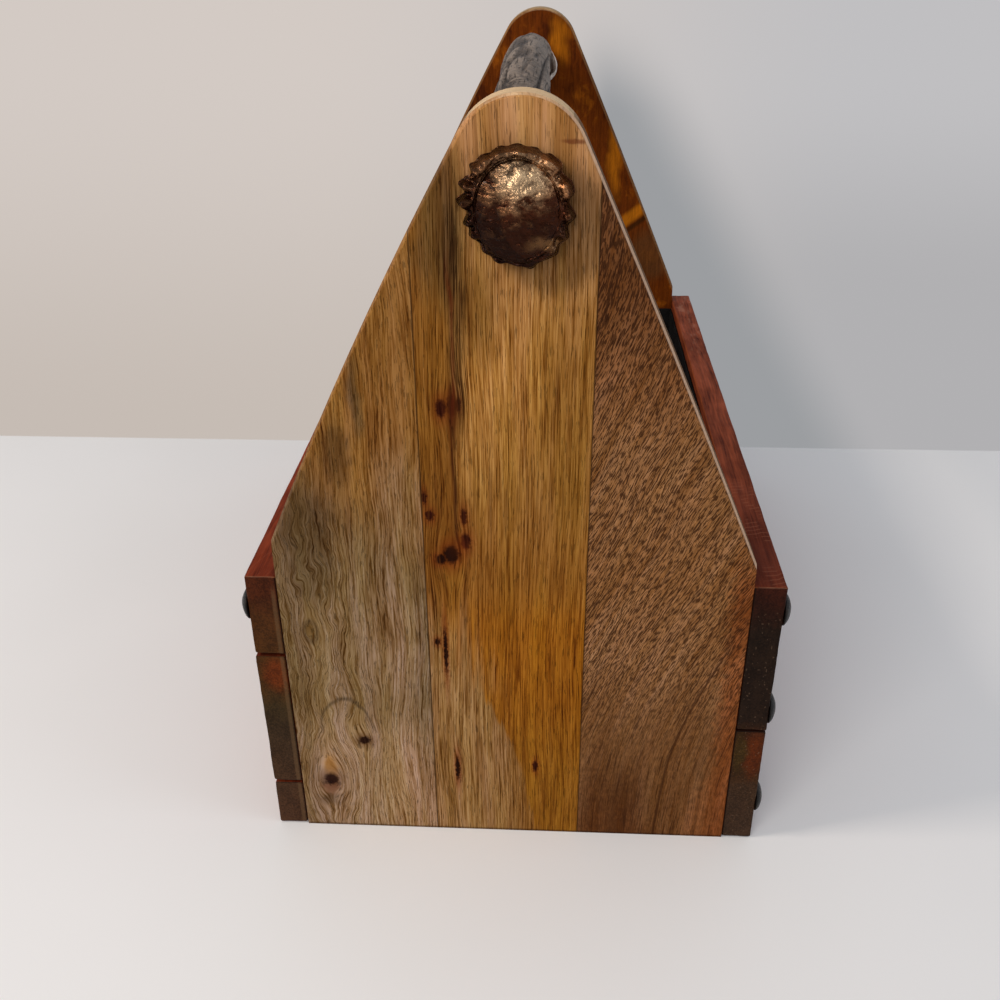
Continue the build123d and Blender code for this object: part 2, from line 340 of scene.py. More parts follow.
def either(first, *masks):
    for mask in masks:
        first = maths("MAXIMUM", first, mask)
    return first


def shares(value, stops):
    """How far value, and then each stop, lies on the way from the first stop to the last."""
    low, high = stops[0][0], stops[-1][0]
    return between(value, low, high, smooth=False), [(at - low) / (high - low) for at, _ in stops]


def curve(value, stops):
    """A smooth line through stops of (value, result)."""
    share, places = shares(value, stops)
    results = [result for _, result in stops]
    floor, span = min(results), max(results) - min(results)
    bent = node("ShaderNodeFloatCurve", {"Value": share})
    mapping = bent.socket.node.mapping
    held = mapping.curves[0].points
    while len(held) < len(stops):
        held.new(0.5, 0.5)
    for point, at, result in zip(held, places, results):
        point.location = (at, (result - floor) / span)
    mapping.update()
    return bent * span + floor


def ramp(value, stops):
    """Colours along value, blended evenly between stops of (value, colour)."""
    share, places = shares(value, stops)
    made = node("ShaderNodeValToRGB", {"Fac": share})
    elements = made.socket.node.color_ramp.elements
    while len(elements) < len(stops):
        elements.new(0.5)
    for element, at, (_, colour) in zip(elements, places, stops):
        element.position = at
        element.color = (*shade_of(colour), 1)
    return made


def shade_of(colour):
    """A colour written as whole display values, as linear light; wires and settings as they are."""
    if isinstance(colour, tuple) and isinstance(colour[0], int):
        return tone(*colour)
    return colour


def mix(share, first, second):
    inputs = {0: share, 6: shade_of(first), 7: shade_of(second)}
    return node("ShaderNodeMix", inputs, 2, data_type="RGBA")


def coats(colour, *layers):
    """The colour under layers of (share, colour), laid on one after another."""
    for share, layer in layers:
        colour = mix(share, colour, layer)
    return colour


def patches(colour, point, *rows):
    """The colour under spots, given as (size and amount of their raggedness, place across and up,
    half width, half height, softness, share, colour)."""
    for size, amount, across, up, wide, high, soft, share, layer in rows:
        loose = ragged(point, size, amount) if amount else point
        colour = mix(spot(loose, (across, up), (wide, high), soft) * share, colour, layer)
    return colour


def shaded(colour, factor):
    return node("ShaderNodeVectorMath", {0: shade_of(colour), "Scale": factor}, operation="SCALE")


def marked(colour, share, factor):
    """The colour, multiplied by factor where share is 1 and as it is where share is 0."""
    return shaded(colour, between(share, 0, 1, 1, factor))


def swing(field, low, high):
    """Smooth noise turned into a number that swings from low to high."""
    return between(field, 0.3, 0.7, low, high)


def bump(height, depth):
    return node("ShaderNodeBump", {"Strength": 1, "Distance": depth, "Height": height}, "Normal")


def finish(paint, colour, roughness, normal, **constants):
    """Joins the colour, roughness and bump to the shader; the rest are plain numbers on it."""
    wanted = {"Base Color": colour, "Roughness": roughness, "Normal": normal, **constants}
    for name, value in wanted.items():
        if value is not None:
            socket = paint.node_tree.nodes["Principled BSDF"].inputs[name.replace("_", " ")]
            plug(paint.node_tree, socket, value)
    return paint


# --- settings


def colour_setting(name, description, *shade):
    limits = {"subtype": "COLOR", "size": 3, "min": 0, "max": 1}
    return FloatVectorProperty(name=name, description=description, default=tone(*shade), **limits)


def length_setting(name, description, default):
    return FloatProperty(name=name, description=description, default=default, min=0, unit="LENGTH")


def power_setting(name, description, default):
    return FloatProperty(name=name, description=description, default=default, min=0, unit="POWER")


class TimberSettings(bpy.types.PropertyGroup):
    grey_board: colour_setting("Grey board", "Front board of each end", 122, 93, 58)
    honey: colour_setting("Honey", "Upper part of the front boards", 126, 82, 34)
    gold_board: colour_setting("Gold board", "Middle board of each end", 164, 111, 50)
    amber_heart: colour_setting("Amber heart", "Heartwood of the middle boards", 137, 79, 13)
    brown_board: colour_setting("Brown board", "Rear board of each end", 146, 101, 63)
    brown_pore: colour_setting("Brown pores", "Short dark pores of the rear boards", 52, 27, 12)
    sawn_edge: colour_setting("Sawn edge", "Bare wood on the sanded edges", 222, 188, 146)
    orange_stain: colour_setting("Orange stain", "Inner faces of the end boards", 98, 44, 7)
    plain_wood: colour_setting("Plain wood", "Unstained wood inside", 190, 150, 104)
    edge_wear: length_setting("Edge wear", "How far the boards' corners are worn round", 0.0007)
    warp: length_setting("Warp", "How far the boards' faces stray from flat", 0.0005)


class AntlerSettings(bpy.types.PropertyGroup):
    grey: colour_setting("Antler grey", "Ground colour of the handle", 66, 55, 48)
    ridge: colour_setting("Ridge", "Rubbed tops of the handle's ridges", 158, 141, 127)
    groove: colour_setting("Groove", "Bottoms of the handle's grooves", 34, 26, 22)
    sawn: colour_setting("Sawn end", "Pale rim where the antler is cut", 240, 230, 220)
    burr_dark: colour_setting("Burr, dark", "Hollows of the varnished burrs", 62, 28, 11)
    burr_light: colour_setting("Burr, light", "Raised parts of the varnished burrs", 158, 108, 70)
    ridge_depth: length_setting("Ridge depth", "Depth of the handle's grooves", 0.0016)


class IronSettings(bpy.types.PropertyGroup):
    iron: colour_setting("Iron", "Blackened iron of nails and knob", 17, 15, 14)
    steel: colour_setting("Steel", "Studs and screw", 150, 150, 148)
    dent_depth: length_setting("Dent depth", "Depth of the hammer marks", 0.00025)


class FeltSettings(bpy.types.PropertyGroup):
    felt: colour_setting("Felt", "Black felt of the lining", 44, 42, 42)
    ripple_height: length_setting("Ripple", "How far the felt strays from flat", 0.0002)


class StageSettings(bpy.types.PropertyGroup):
    floor: colour_setting("Floor", "Pale floor", 239, 237, 236)
    wall_high: colour_setting("Wall, high", "Far background at the top left", 211, 202, 196)
    wall_low: colour_setting("Wall, low", "Far background at the lower left", 198, 188, 180)
    wall_right: colour_setting("Wall, right", "Far background on the right", 184, 183, 185)
    wall_shade: colour_setting("Wall shade", "Shadow beside the tote", 155, 157, 160)
    focal_length: FloatProperty(
        name="Focal length",
        description="Focal length of the camera's lens, in millimetres on a 36 mm sensor",
        default=37.295,
        min=1,
    )
    window_light: power_setting("Window light", "Power of the large lamp in front", 19)
    warm_light: power_setting("Warm light", "Power of the warm lamp on the left", 8.5)
    fill_light: power_setting("Fill light", "Power of the cool lamp on the right", 4.5)
    sky: FloatProperty(name="Sky", description="Strength of the even light", default=0.46)


# --- end boards

# Places on an end board are (across, up) in millimetres: across is counted from the tote's middle
# towards the back, up from the floor.

# The grain parts round swells: across, up, half width, half height, push.
GREY_SWELLS = {
    "right": (
        (-74, 57.5, 9, 16, 0.95),
        (-90.5, 31, 13, 22, 1.1),
        (-92.5, 122, 5, 9, 1),
        (-80, 84, 12, 11, 0.6),
    ),
    "left": ((-70, 96, 9, 17, 1.1), (-84, 200, 6, 10, 1.2)),
}
GOLD_SWELLS = {
    "right": ((-26.5, 165, 6.5, 15, 0.95), (-25, 235, 5, 12, 0.7), (-27, 42, 3.5, 10, 0.7)),
    "left": ((10, 120, 6, 14, 0.95), (-12, 250, 4, 10, 0.7)),
}

# Knots: across, up, half width, half height.
GREY_KNOTS = {
    "right": ((-72, 57.5, 2.6, 2), (-90.5, 31.5, 3.2, 3)),
    "left": ((-70, 96, 2.6, 2.4),),
}
GOLD_KNOTS = {
    "right": (
        (-26.3, 165.2, 3, 3.9),
        (-31, 162.5, 2.1, 2.2),
        (-30.4, 113, 0.75, 11),
        (-27, 41, 0.9, 6.5),
        (-34, 118, 1.1, 1.7),
    ),
    "left": ((10, 120, 3, 3.6), (22, 188, 0.8, 9)),
}
RED_KNOTS = {
    "right": (
        (-28.5, 234, 2, 3.4),
        (-24, 235.5, 1.8, 3.6),
        (-21.4, 236, 1, 2.6),
        (-37, 193, 1, 2.6),
        (-35, 184.5, 1.6, 2.2),
        (-20.5, 184, 1.2, 3.4),
        (-20, 172, 2, 3.4),
        (11, 44, 1, 3),
    ),
    "left": ((-12, 250, 1.6, 3),),
}

# Patches of colour, as the patches function takes them. Marks are on the right end alone.
GREY_PATCHES = (
    (0, 0, -44, 14, 17, 46, 0.6, 0.9, (148, 110, 72)),
    (0, 0, -41, 95, 6, 55, 0.7, 0.3, (96, 80, 60)),
    (12, 8, -53, 116, 11, 30, 0.7, 0.7, (140, 107, 73)),
    (14, 10, -47, 188, 12, 24, 0.7, 0.5, (136, 106, 70)),
    (9, 8, -73, 213, 6, 15, 0.6, 0.7, (72, 46, 22)),
)
GREY_MARKS = (
    (5, 4, -90, 40, 3.4, 7.5, 0.6, 0.75, (150, 100, 40)),
    (5, 5, -91, 26.5, 4.4, 5, 0.6, 0.6, (104, 52, 30)),
    (6, 6, -92, 18, 5.5, 3.4, 0.7, 0.6, (66, 44, 28)),
)
GOLD_PATCHES = (
    (20, 14, -27, 308, 9, 26, 0.6, 0.8, (88, 60, 26)),
    (9, 8, -14, 276, 8, 19, 0.7, 0.65, (104, 66, 22)),
)
GOLD_MARKS = ((3, 1.6, 22.5, 337, 4.6, 0.8, 0.5, 0.7, (104, 48, 26)),)

# Colours up the boards.
GOLD_TOP = ((310, (150, 103, 54)), (345, (172, 120, 70)))
GOLD_MIDDLE = ((150, (120, 73, 25)), (200, (146, 98, 40)))
BROWN_LOW = ((0, (92, 52, 23)), (24, (88, 51, 23)), (60, (115, 75, 41)))
BROWN_HIGH = (
    (150, (137, 91, 51)),
    (215, (142, 97, 58)),
    (245, (131, 85, 49)),
    (285, (100, 58, 28)),
    (320, (112, 70, 40)),
)

# How far across the amber heart begins, and how far the rear board's grain has leant, at each height.
AMBER_EDGE = ((0, 12), (20, 8), (40, 5), (60, -1), (76, -9), (108, -19), (180, -34))
BROWN_LEAN = (
    (-5, 0), (20, 0.7), (40, 2.7), (60, 6.7), (75, 10.7), (98, 18.6), (117, 27), (150, 43), (200, 66),
    (250, 86), (285, 96), (350, 104),
)


def parted_grain(point, across, swells):
    """Across, drawn in towards each swell's centre by push * exp(-d^2) times the distance from it,
    so that lines of even across go round the swell as grain goes round a knot."""
    for at, up, wide, high, push in swells:
        across = across - (across - at) * hill(point, (at, up), (wide, high)) * push
    return across


def fibre_layers(x, across, up, width=1, length=1):
    """Noises drawn out along the fibres: fibres of three lengths, then streaks and bands."""
    grain = vector(x, across, up)
    hairs = noise(grain, (0.8, 0.5 * width, 12 * length), 1, 0.5, (5.5, 8.4, 0.3))
    fine = noise(grain, (1, 0.66 * width, 26 * length), 2, 0.6)
    strands = noise(grain, (1.6, 1.05 * width, 46 * length), 2, 0.6, (9.2, 1.4, 6.6))
    fibres = between(hairs, 0.34, 0.58) * 0.11 + between(fine, 0.3, 0.66) * 0.14 + strands * 0.26 + 0.245
    streaks = noise(grain, (6, 3 * width, 70), 2, 0.5, (3.1, 5.7, 1.3))
    bands = noise(grain, (20, 9 * width, 130), 2, 0.5, (7.7, 2.9, 4.1))
    return grain, fibres, streaks, bands


def grain_shade(colour, layers, contrast=1, tint=0.1):
    """The colour, multiplied by 1 plus the fibres', streaks' and bands' distance from their mean;
    green and blue fall faster than red, so that dark fibres are also redder, and slow patches
    lean from olive to pink."""
    grain, fibres, streaks, bands = layers
    factor = (fibres - 0.5) * (contrast * 4.6) + (streaks - 0.5) * 1.2 + (bands - 0.5) * 1.2 + 1.03
    factor = maths("MAXIMUM", factor, 0.2)
    hue = noise(grain, (20, 7, 90), 2, 0.6, (8.8, 2, 5.1))
    red = maths("POWER", factor, 0.75)
    green = factor * between(hue, 0.35, 0.65, 1 + tint * 0.1, 1 - tint * 0.1)
    blue = maths("POWER", factor, 1.55) * between(hue, 0.35, 0.65, 1 - tint, 1 + tint)
    return vector_maths("MULTIPLY", colour, vector(red, green, blue))


def knots_on(colour, point, knots, ring, core, shift):
    """Draws knots with ragged outlines: a ring of colour about twice as wide, and a dark core."""
    loose = ragged(point, 1.5, 2.2, shift)
    rings = either(*[spot(loose, (y, z), (wide * 1.9, high * 2.1), 0.7) for y, z, wide, high in knots])
    cores = either(*[spot(loose, (y, z), (wide * 1.1, high * 1.15), 0.35) for y, z, wide, high in knots])
    return coats(colour, (rings * 0.75, ring), (cores * 0.95, core)), cores


def grey_face(point, timber, end):
    """Front board: grey-brown fibres that flow round knots, honey coloured near the top."""
    x, y, z = parts(point)
    sway = (noise(point, (70, 42, 95), 1) - 0.5) * 15
    curl = (noise(point, (24, 9, 13)) - 0.5) * 8
    curly = between(y, -64, -84) * between(z, 215, 160)
    across = parted_grain(point, y + sway + curl * (curly * 0.85 + 0.15), GREY_SWELLS[end])
    layers = fibre_layers(x, across, z, 1, 0.9)
    grain, fibres = layers[:2]
    pores = between(noise(grain, (0.8, 0.5, 4.5), 2, 0.6, (1.7, 9.1, 2.2)), 0.58, 0.66)
    colour = mix(between(z, 50, 85), (143, 110, 75), timber.grey_board)
    colour = mix(between(z, 150, 190), colour, (106, 75, 42))
    colour = mix(between(z + y * 0.9, 105, 150), colour, timber.honey)
    colour = patches(colour, point, *GREY_PATCHES)
    colour = shaded(colour, between(y, -88, -101, 1, 0.78))
    slope = spot(ragged(point, 14, 16), (-88, 168), (11, 30), 0.5)
    shadow = spot(ragged(point, 14, 10), (-63, 238), (3, 17), 0.6)
    colour = mix(either(slope * 0.75, shadow * 0.8) * 0.8, colour, (74, 56, 36))
    if end == "right":
        colour = patches(colour, point, *GREY_MARKS)
    colour, knots = knots_on(colour, point, GREY_KNOTS[end], (78, 44, 22), (30, 10, 5), (0.3, 1.1, 2.3))
    colour = grain_shade(colour, layers, 1.2)
    if end == "right":
        eye = line(distance(point, (-92, 122), (3, 5.5)), 1, 0.3, 0.9)
        arch = line(distance(ragged(point, 9, 3), (-80, 62), (12.5, 21)), 1, 0.05, 0.9)
        arch = arch * between(z, 58, 74)
        colour = coats(colour, (eye * 0.5, (66, 46, 28)), (arch * 0.6, (66, 50, 32)))
    colour = marked(colour, pores, 0.62)
    return colour, fibres * 0.6 + pores * -0.8 - knots * 0.5


def gold_face(point, timber, end):
    """Middle board: straight golden fibres with a dark mineral streak, knots and an amber heart."""
    x, y, z = parts(point)
    sway = (noise(point, (80, 40, 150), 1) - 0.5) * 8
    across = parted_grain(point, y + sway, GOLD_SWELLS[end])
    layers = fibre_layers(x, across, z, 0.9, 1.2)
    grain, fibres, streaks, bands = layers
    pores = between(noise(grain, (0.7, 0.5, 8), 2, 0.6, (4.4, 3.1, 8.2)), 0.59, 0.67)
    colour = ramp(z, (*GOLD_MIDDLE, (250, timber.gold_board), *GOLD_TOP))
    low = between(z, 152, 110) * between(y, 16, -12)
    colour = mix(low * 0.9, colour, (142, 102, 57))
    edge = y - curve(z, AMBER_EDGE)
    stray = streaks - 0.5
    heart = between(edge + stray * 12, -1.2, 1.2)
    above = between(edge + stray * 40, -12, 12)
    heart = (heart + between(z, 82, 100) * (above - heart)) * between(z, 205, 130)
    amber = mix(between(z, 110, 20), timber.amber_heart, (128, 78, 17))
    amber = mix(between(z, 120, 155), amber, (126, 77, 22))
    tan = between(y + stray * 20, 4, 24) * between(z, 165, 200, 0, 0.75) * between(z, 300, 250)
    olive = between(y + stray * 14, -20, -27) * between(z, 128, 170)
    colour = coats(colour, (heart * 0.95, amber), (tan, (118, 74, 24)), (olive * 0.9, (115, 69, 19)))
    colour = patches(colour, point, *GOLD_PATCHES)
    colour, _ = knots_on(colour, point, RED_KNOTS[end], (104, 44, 10), (40, 8, 3), (4.1, 0.2, 1.9))
    colour, knots = knots_on(colour, point, GOLD_KNOTS[end], (104, 40, 10), (20, 5, 3), (2.2, 3.7, 0.6))
    colour = grain_shade(colour, layers, between(z, 300, 336, 1.3, 0.4))
    threads = between(noise(grain, (1.5, 1.1, 46), 1, 0.5, (2.6, 6.1, 9.3)), 0.55, 0.63)
    threads = threads * between(bands, 0.62, 0.42, 0.25, 1) * between(z, 130, 170, 0.5, 1)
    colour = mix(threads * 0.5, colour, (84, 44, 12))
    if end == "right":
        # painted shadow cast on the board below the burr
        under = spot(point, on_cap(2.5, -11), (21, 24), 0.28)
        colour = marked(colour, under, 0.5)
        wander = (noise(point, (20, 20, 26), 1, 0.5, (2, 8, 5)) - 0.5) * 7
        streak = line(y + wander, -21.8, 3.8, 0.6) * spot(point, (-22, 274), (10, 52), 0.35)
        streak = streak * between(fibres, 0.62, 0.42, 0.45, 1)
        drop = spot(point, (-24, 206), (9, 36), 0.3)
        halo = line(y + wander * 0.4 + stray * 1.44, -24, 2.6, 0.9) * drop
        thread = line(y + wander * 0.4, -24, 0.8, 0.8) * drop * between(fibres, 0.64, 0.44, 0.35, 1)
        red_line = line(y + wander * 0.8, -23.6, 0.7, 0.8) * spot(point, (-23, 262), (9, 32), 0.4)
        colour = coats(
            colour,
            (streak * 0.92, (42, 22, 7)),
            (halo * 0.5, (92, 42, 10)),
            (thread * 0.85, (50, 17, 5)),
            (red_line * 0.6, (84, 30, 8)),
        )
        colour = patches(colour, point, *GOLD_MARKS)
    colour = marked(colour, pores, 0.55)
    return colour, fibres * 0.6 + pores * -0.8 - knots * 0.4


def brown_face(point, timber, _):
    """Rear board: brown wood with short dark pores that lean with the grain, and growth lines."""
    x, y, z = parts(point)
    sway = (noise(point, (60, 30, 60), 1) - 0.5) * 6
    across = y - curve(z, BROWN_LEAN) + sway
    layers = fibre_layers(x, across, z, 1, 0.8)
    grain, fibres = layers[:2]
    colour = ramp(z, (*BROWN_LOW, (110, timber.brown_board), *BROWN_HIGH))
    mottle = noise(point, (5, 3, 3.5))
    blush = between(y + (mottle - 0.5) * 8 + between(z, 50, 8) * 13, 92, 101) * between(z, 178, 148)
    colour = mix(blush * 0.85, colour, (132, 72, 34))
    loose = ragged(point, 9, 6)
    pale = either(spot(loose, (80, 30), (15, 44), 0.7) * 0.75, spot(loose, (29, 52), (7, 46), 0.6) * 0.6)
    colour = mix(pale, colour, (128, 86, 50))
    dense = between(z, 40, 120, 0.4, 1)
    colour = grain_shade(colour, layers, 0.4, 0.03)
    colour = shaded(colour, swing(mottle, 0.86, 1.14))
    short = noise(grain, (0.8, 0.58, 3.2), 1, 0.5, (6.1, 3.3, 0.4))
    thick = noise(grain, (0.9, 0.85, 6.5), 0, 0.5, (2.2, 7.3, 3.4))
    long = noise(grain, (0.9, 0.6, 24), 2, 0.6, (1.1, 4.3, 7.4))
    dashes = between(short, 0.5, 0.58) * dense
    slots = between(thick, 0.56, 0.64) * between(z, 225, 275, 0.3, 1) * dense
    threads = between(long, 0.58, 0.64) * between(z, 235, 190)
    growth = line(across, 71, 0.5, 0.7) * between(z, 125, 110)
    faint = line(across, 91, 0.6, 0.8) * between(z, 110, 80)
    third = line(across, 49.5, 2.2, 0.8) * between(z, 52, 30)
    lines = either(growth, faint * 0.5, third * 0.4)
    for share in (dashes * 0.82, slots * 0.75, threads * 0.65):
        colour = mix(share, colour, timber.brown_pore)
    colour = mix(lines * 0.75, colour, (60, 32, 14))
    return colour, fibres * 0.5 - dashes * 0.6 - lines


def inner_face(point, timber, end):
    """Stained inner face: orange-brown, cloudy, with darker and brighter patches."""
    _, y, z = parts(point)
    shift = (0, 3, 5) if end == "left" else (4, 9, 1)
    loose = ragged(point, 16, 14, shift)
    cloud = noise(loose, (30, 11, 24), 4, 0.62, shift)
    fibres = noise(point, (3, 1.3, 16), 3, 0.6, shift)
    colour = mix(between(cloud, 0.33, 0.5), (70, 28, 6), timber.orange_stain)
    colour = mix(between(cloud, 0.52, 0.68), colour, (136, 70, 12))
    if end == "left":
        patch = either(spot(loose, (17, 334), (5, 12), 0.7), spot(loose, (58, 256), (4.5, 24), 0.7))
        slant, band = z - (y - 72) * 0.75, between(y, 60, 67)
        colour = coats(
            colour,
            (either(patch * 0.8, line(slant, 216, 4.6, 0.6) * band), (172, 98, 14)),
            (line(slant, 207.5, 2, 0.8) * band * 0.8, (48, 26, 6)),
            (spot(loose, (86, 186), (16, 20), 0.4) * 0.75, (92, 56, 28)),
        )
    return shaded(colour, swing(fibres, 0.78, 1.2))


EDGE_LOOKS = {
    # how pale the outer arris is on the front and the rear slope, its colour, the colour of the
    # sloping edges, and how light the top is
    "right": (0.08, 0.7, (208, 176, 150), (104, 72, 44), 1),
    "left": (0.6, 0.6, (120, 84, 52), (92, 58, 32), 0.6),
}


def end_board(name, face, timber, end):
    """One board of an end: its outer face, its stained inner face, its bare sanded edges with painted light
    on those that face up, and painted shade along its foot.
    """
    paint = new_paint(name)
    point = place(paint)
    colour, relief = face(point, timber, end)
    x, y, z = parts(point)
    seam = either(line(y, FRONT_SEAM, 0.3, 0.6), line(y, REAR_SEAM, 0.3, 0.6))
    away = maths("ABSOLUTE", x)
    inner = HALF_LENGTH - END_BOARD
    colour = coats(
        colour,
        (seam * 0.75, (44, 26, 12)),
        # painted shade along the foot of the board
        (between(z, 1.8, 0.6) * 0.6, (40, 24, 14)),
        (between(away, inner + 0.8, inner + 0.2), inner_face(point, timber, end)),
    )
    squarely, upward = facing(paint)
    sanding = noise(ragged(point, 9, 5), (1.2, 9, 9))
    front_share, rear_share, corner_colour, slope_colour, crown_light = EDGE_LOOKS[end]
    bare = shaded(timber.sawn_edge, swing(sanding, 0.84, 1.08))
    bare = shaded(bare, crown_light)
    # Edges that face up take the pale bare wood and the sloping edges a browner one: sanded wood, and
    # painted light from above.
    crown = between(upward + (sanding - 0.5) * 0.3, 0.55, 0.8)
    top = between(squarely, 0.62, 0.4) * between(upward, 0.05, 0.2)
    corner = between(squarely, 0.93, 0.78) * between(upward, 0.03, 0.1)
    share = either(between(y, -10, 30, front_share, rear_share), crown * 0.95)
    share = share * between(away, HALF_LENGTH - 0.4, HALF_LENGTH - 0.7)
    edge_grain = swing(noise(point, (1.8, 7, 30), 3, 0.62), 0.72, 1.28)
    edge = mix(crown, shaded(slope_colour, edge_grain), bare)
    colour = coats(colour, (corner * share, mix(crown, corner_colour, bare)), (top, edge))
    gloss = between(relief, 0, 0.5, 0.66, 0.5)
    return finish(paint, colour, gloss, bump(relief, 0.0002), Specular_IOR_Level=0.03)


class TOTE_OT_end_boards(bpy.types.Operator):
    """Finish the six boards of the two ends, each with its own wood and knots"""

    bl_idname = "tote.end_boards"
    bl_label = "Finish end boards"

    def execute(self, context):
        timber = context.scene.tote_timber
        faces = {"front": grey_face, "middle": gold_face, "rear": brown_face}
        for end in ("right", "left"):
            for part, face in faces.items():
                material = end_board(f"{end}_{part}_board_wood", face, timber, end)
                dress(f"{end}_end_board_{part}", material)
        return {"FINISHED"}


# --- side boards


def plank_section(long_count, short_count):
    """Points of a rounded rectangle as four arrays, for half sizes a and b and corner radius r:
    a point is (a * ka + r * kr, b * kb + r * ks). Corners are quarter circles of five points, and
    the sides are divided evenly between the ends of the corners."""
    corners = ((1, 1), (-1, 1), (-1, -1), (1, -1))
    ka, kb, turn = [], [], []
    for index, (side_a, side_b) in enumerate(corners):
        next_a, next_b = corners[(index + 1) % 4]
        count = long_count if side_a == next_a else short_count
        share = np.append(np.zeros(5), np.arange(1, count) / count)
        ka.append((1 - share) * side_a + share * next_a)
        kb.append((1 - share) * side_b + share * next_b)
        turn.append(90 * index + np.append(np.linspace(0, 90, 5), np.full(count - 1, 90)))
    ka, kb, turn = np.concatenate(ka), np.concatenate(kb), np.radians(np.concatenate(turn))
    return ka, np.cos(turn) - ka, kb, np.sin(turn) - kb


def worn_plank(node_name, wear, warp, seed, along=0, step=3):
    """A board that fills a node's box. A rounded rectangle is carried along the board's length; its
    corner radius is wear * (1.15 + 0.7 * ripple), the ends are rounded by the same radius, and the
    faces dip by warp * rough noise, never outwards."""
    low, high = (np.array(corner / MM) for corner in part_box(node_name))
    wear, warp = wear / MM, warp / MM
    order = [along] + [axis for axis in range(3) if axis != along]
    half = ((high - low) / 2)[order]
    middle = ((high + low) / 2)[order]
    long_side, short_side = (max(2, int(round(2 * half[axis] / step))) for axis in (2, 1))
    ka, kr, kb, ks = plank_section(long_side, short_side)
    body = np.linspace(-half[0] + 3 * wear, half[0] - 3 * wear, max(4, int(2 * half[0] / step)))
    turn = np.radians(np.linspace(0, 90, 5))
    round_x = half[0] - wear * (1 - np.sin(turn))
    round_in = wear * (1 - np.cos(turn))
    cap = np.linspace(0.96, 0.08, 9)
    position = np.concatenate([-half[0] + 0 * cap, -round_x[::-1], body, round_x, half[0] + 0 * cap])
    inset = np.concatenate([wear + 0 * cap, round_in[::-1], 0 * body, round_in, wear + 0 * cap])
    scale = np.concatenate([cap[::-1], 1 + 0 * turn, 1 + 0 * body, 1 + 0 * turn, cap])
    base = np.stack([position, 0 * position, 0 * position], axis=-1)
    radius = wear * (1.15 + 0.7 * ripple(base + [0, seed * 31, 0], 26, seed))[:, None]
    across = ((half[1] - inset)[:, None] * ka + radius * kr) * scale[:, None]
    tall = ((half[2] - inset)[:, None] * kb + radius * ks) * scale[:, None]
    rings = np.stack([np.broadcast_to(position[:, None], across.shape), across, tall], axis=-1)
    dip = warp * (0.6 + 0.6 * rough(rings, np.array([60, 14, 40]), seed + 3))
    fine = 0.25 * warp * (1 + rough(rings, np.array([9, 3, 3]), seed + 5))
    inward = (dip + fine)[..., None] * np.sign(rings) * smooth_step(np.abs(rings) / half, 0.6, 0.97)
    shown = np.empty_like(rings)
    shown[..., order] = rings - inward + middle
    return ring_shell(shown)


# Colours of the bare end grain up the tote, at the back and at the front.
REAR_END = (
    (0, (58, 40, 28)),
    (34, (60, 40, 25)),
    (42, (58, 34, 14)),
    (64, (60, 30, 10)),
    (76, (34, 21, 13)),
    (128, (31, 19, 11)),
    (142, (42, 17, 8)),
    (152, (52, 20, 10)),
)
FRONT_END = (
    (0, (70, 44, 28)),
    (30, (64, 42, 26)),
    (60, (54, 38, 23)),
    (78, (52, 38, 19)),
    (90, (68, 41, 14)),
    (130, (68, 37, 13)),
    (140, (66, 29, 10)),
    (152, (68, 29, 11)),
)
RAIL_FOOT, RAIL_TOP = 148, 150
BOARD_BACK = 105.6
SAW_CENTRE = (300, 160)


def end_grain(point, front, away, speckle, lumps):
    """Bare end grain, from red-brown at the top to grey-brown at the foot, speckled and patched."""
    _, _, z = parts(point)
    height = z + (lumps - 0.5) * 12
    loose = ragged(point, 6, 6, (3, 1, 2))
    colour = coats(
        mix(front, ramp(height, REAR_END), ramp(height, FRONT_END)),
        (spot(loose, (-111, 96), (5.5, 9)) * 0.8, (98, 40, 10)),
        (spot(loose, (116, 55), (4, 13)) * 0.75, (88, 36, 8)),
        (spot(loose, (108.5, 57), (3.5, 12)) * 0.6, (66, 50, 18)),
    )
    colour = shaded(colour, between(speckle * 0.6 + lumps * 0.4, 0.38, 0.62, 0.66, 1.34))
    flecks = between(noise(point, (1, 0.9, 1.3), 0, 0.5, (3, 8, 8)), 0.74, 0.8)
    flecks = flecks * between(height, 150, 130) * (1 - front)
    pale_band = line(away, 107.3, 0.9) * front * between(z, RAIL_FOOT, 140)
    joint = between(away, BOARD_BACK + 0.6, BOARD_BACK)
    return coats(
        colour, (flecks * 0.35, (112, 88, 68)), (pale_band * 0.35, (112, 84, 56)), (joint * 0.8, (26, 15, 9))
    )


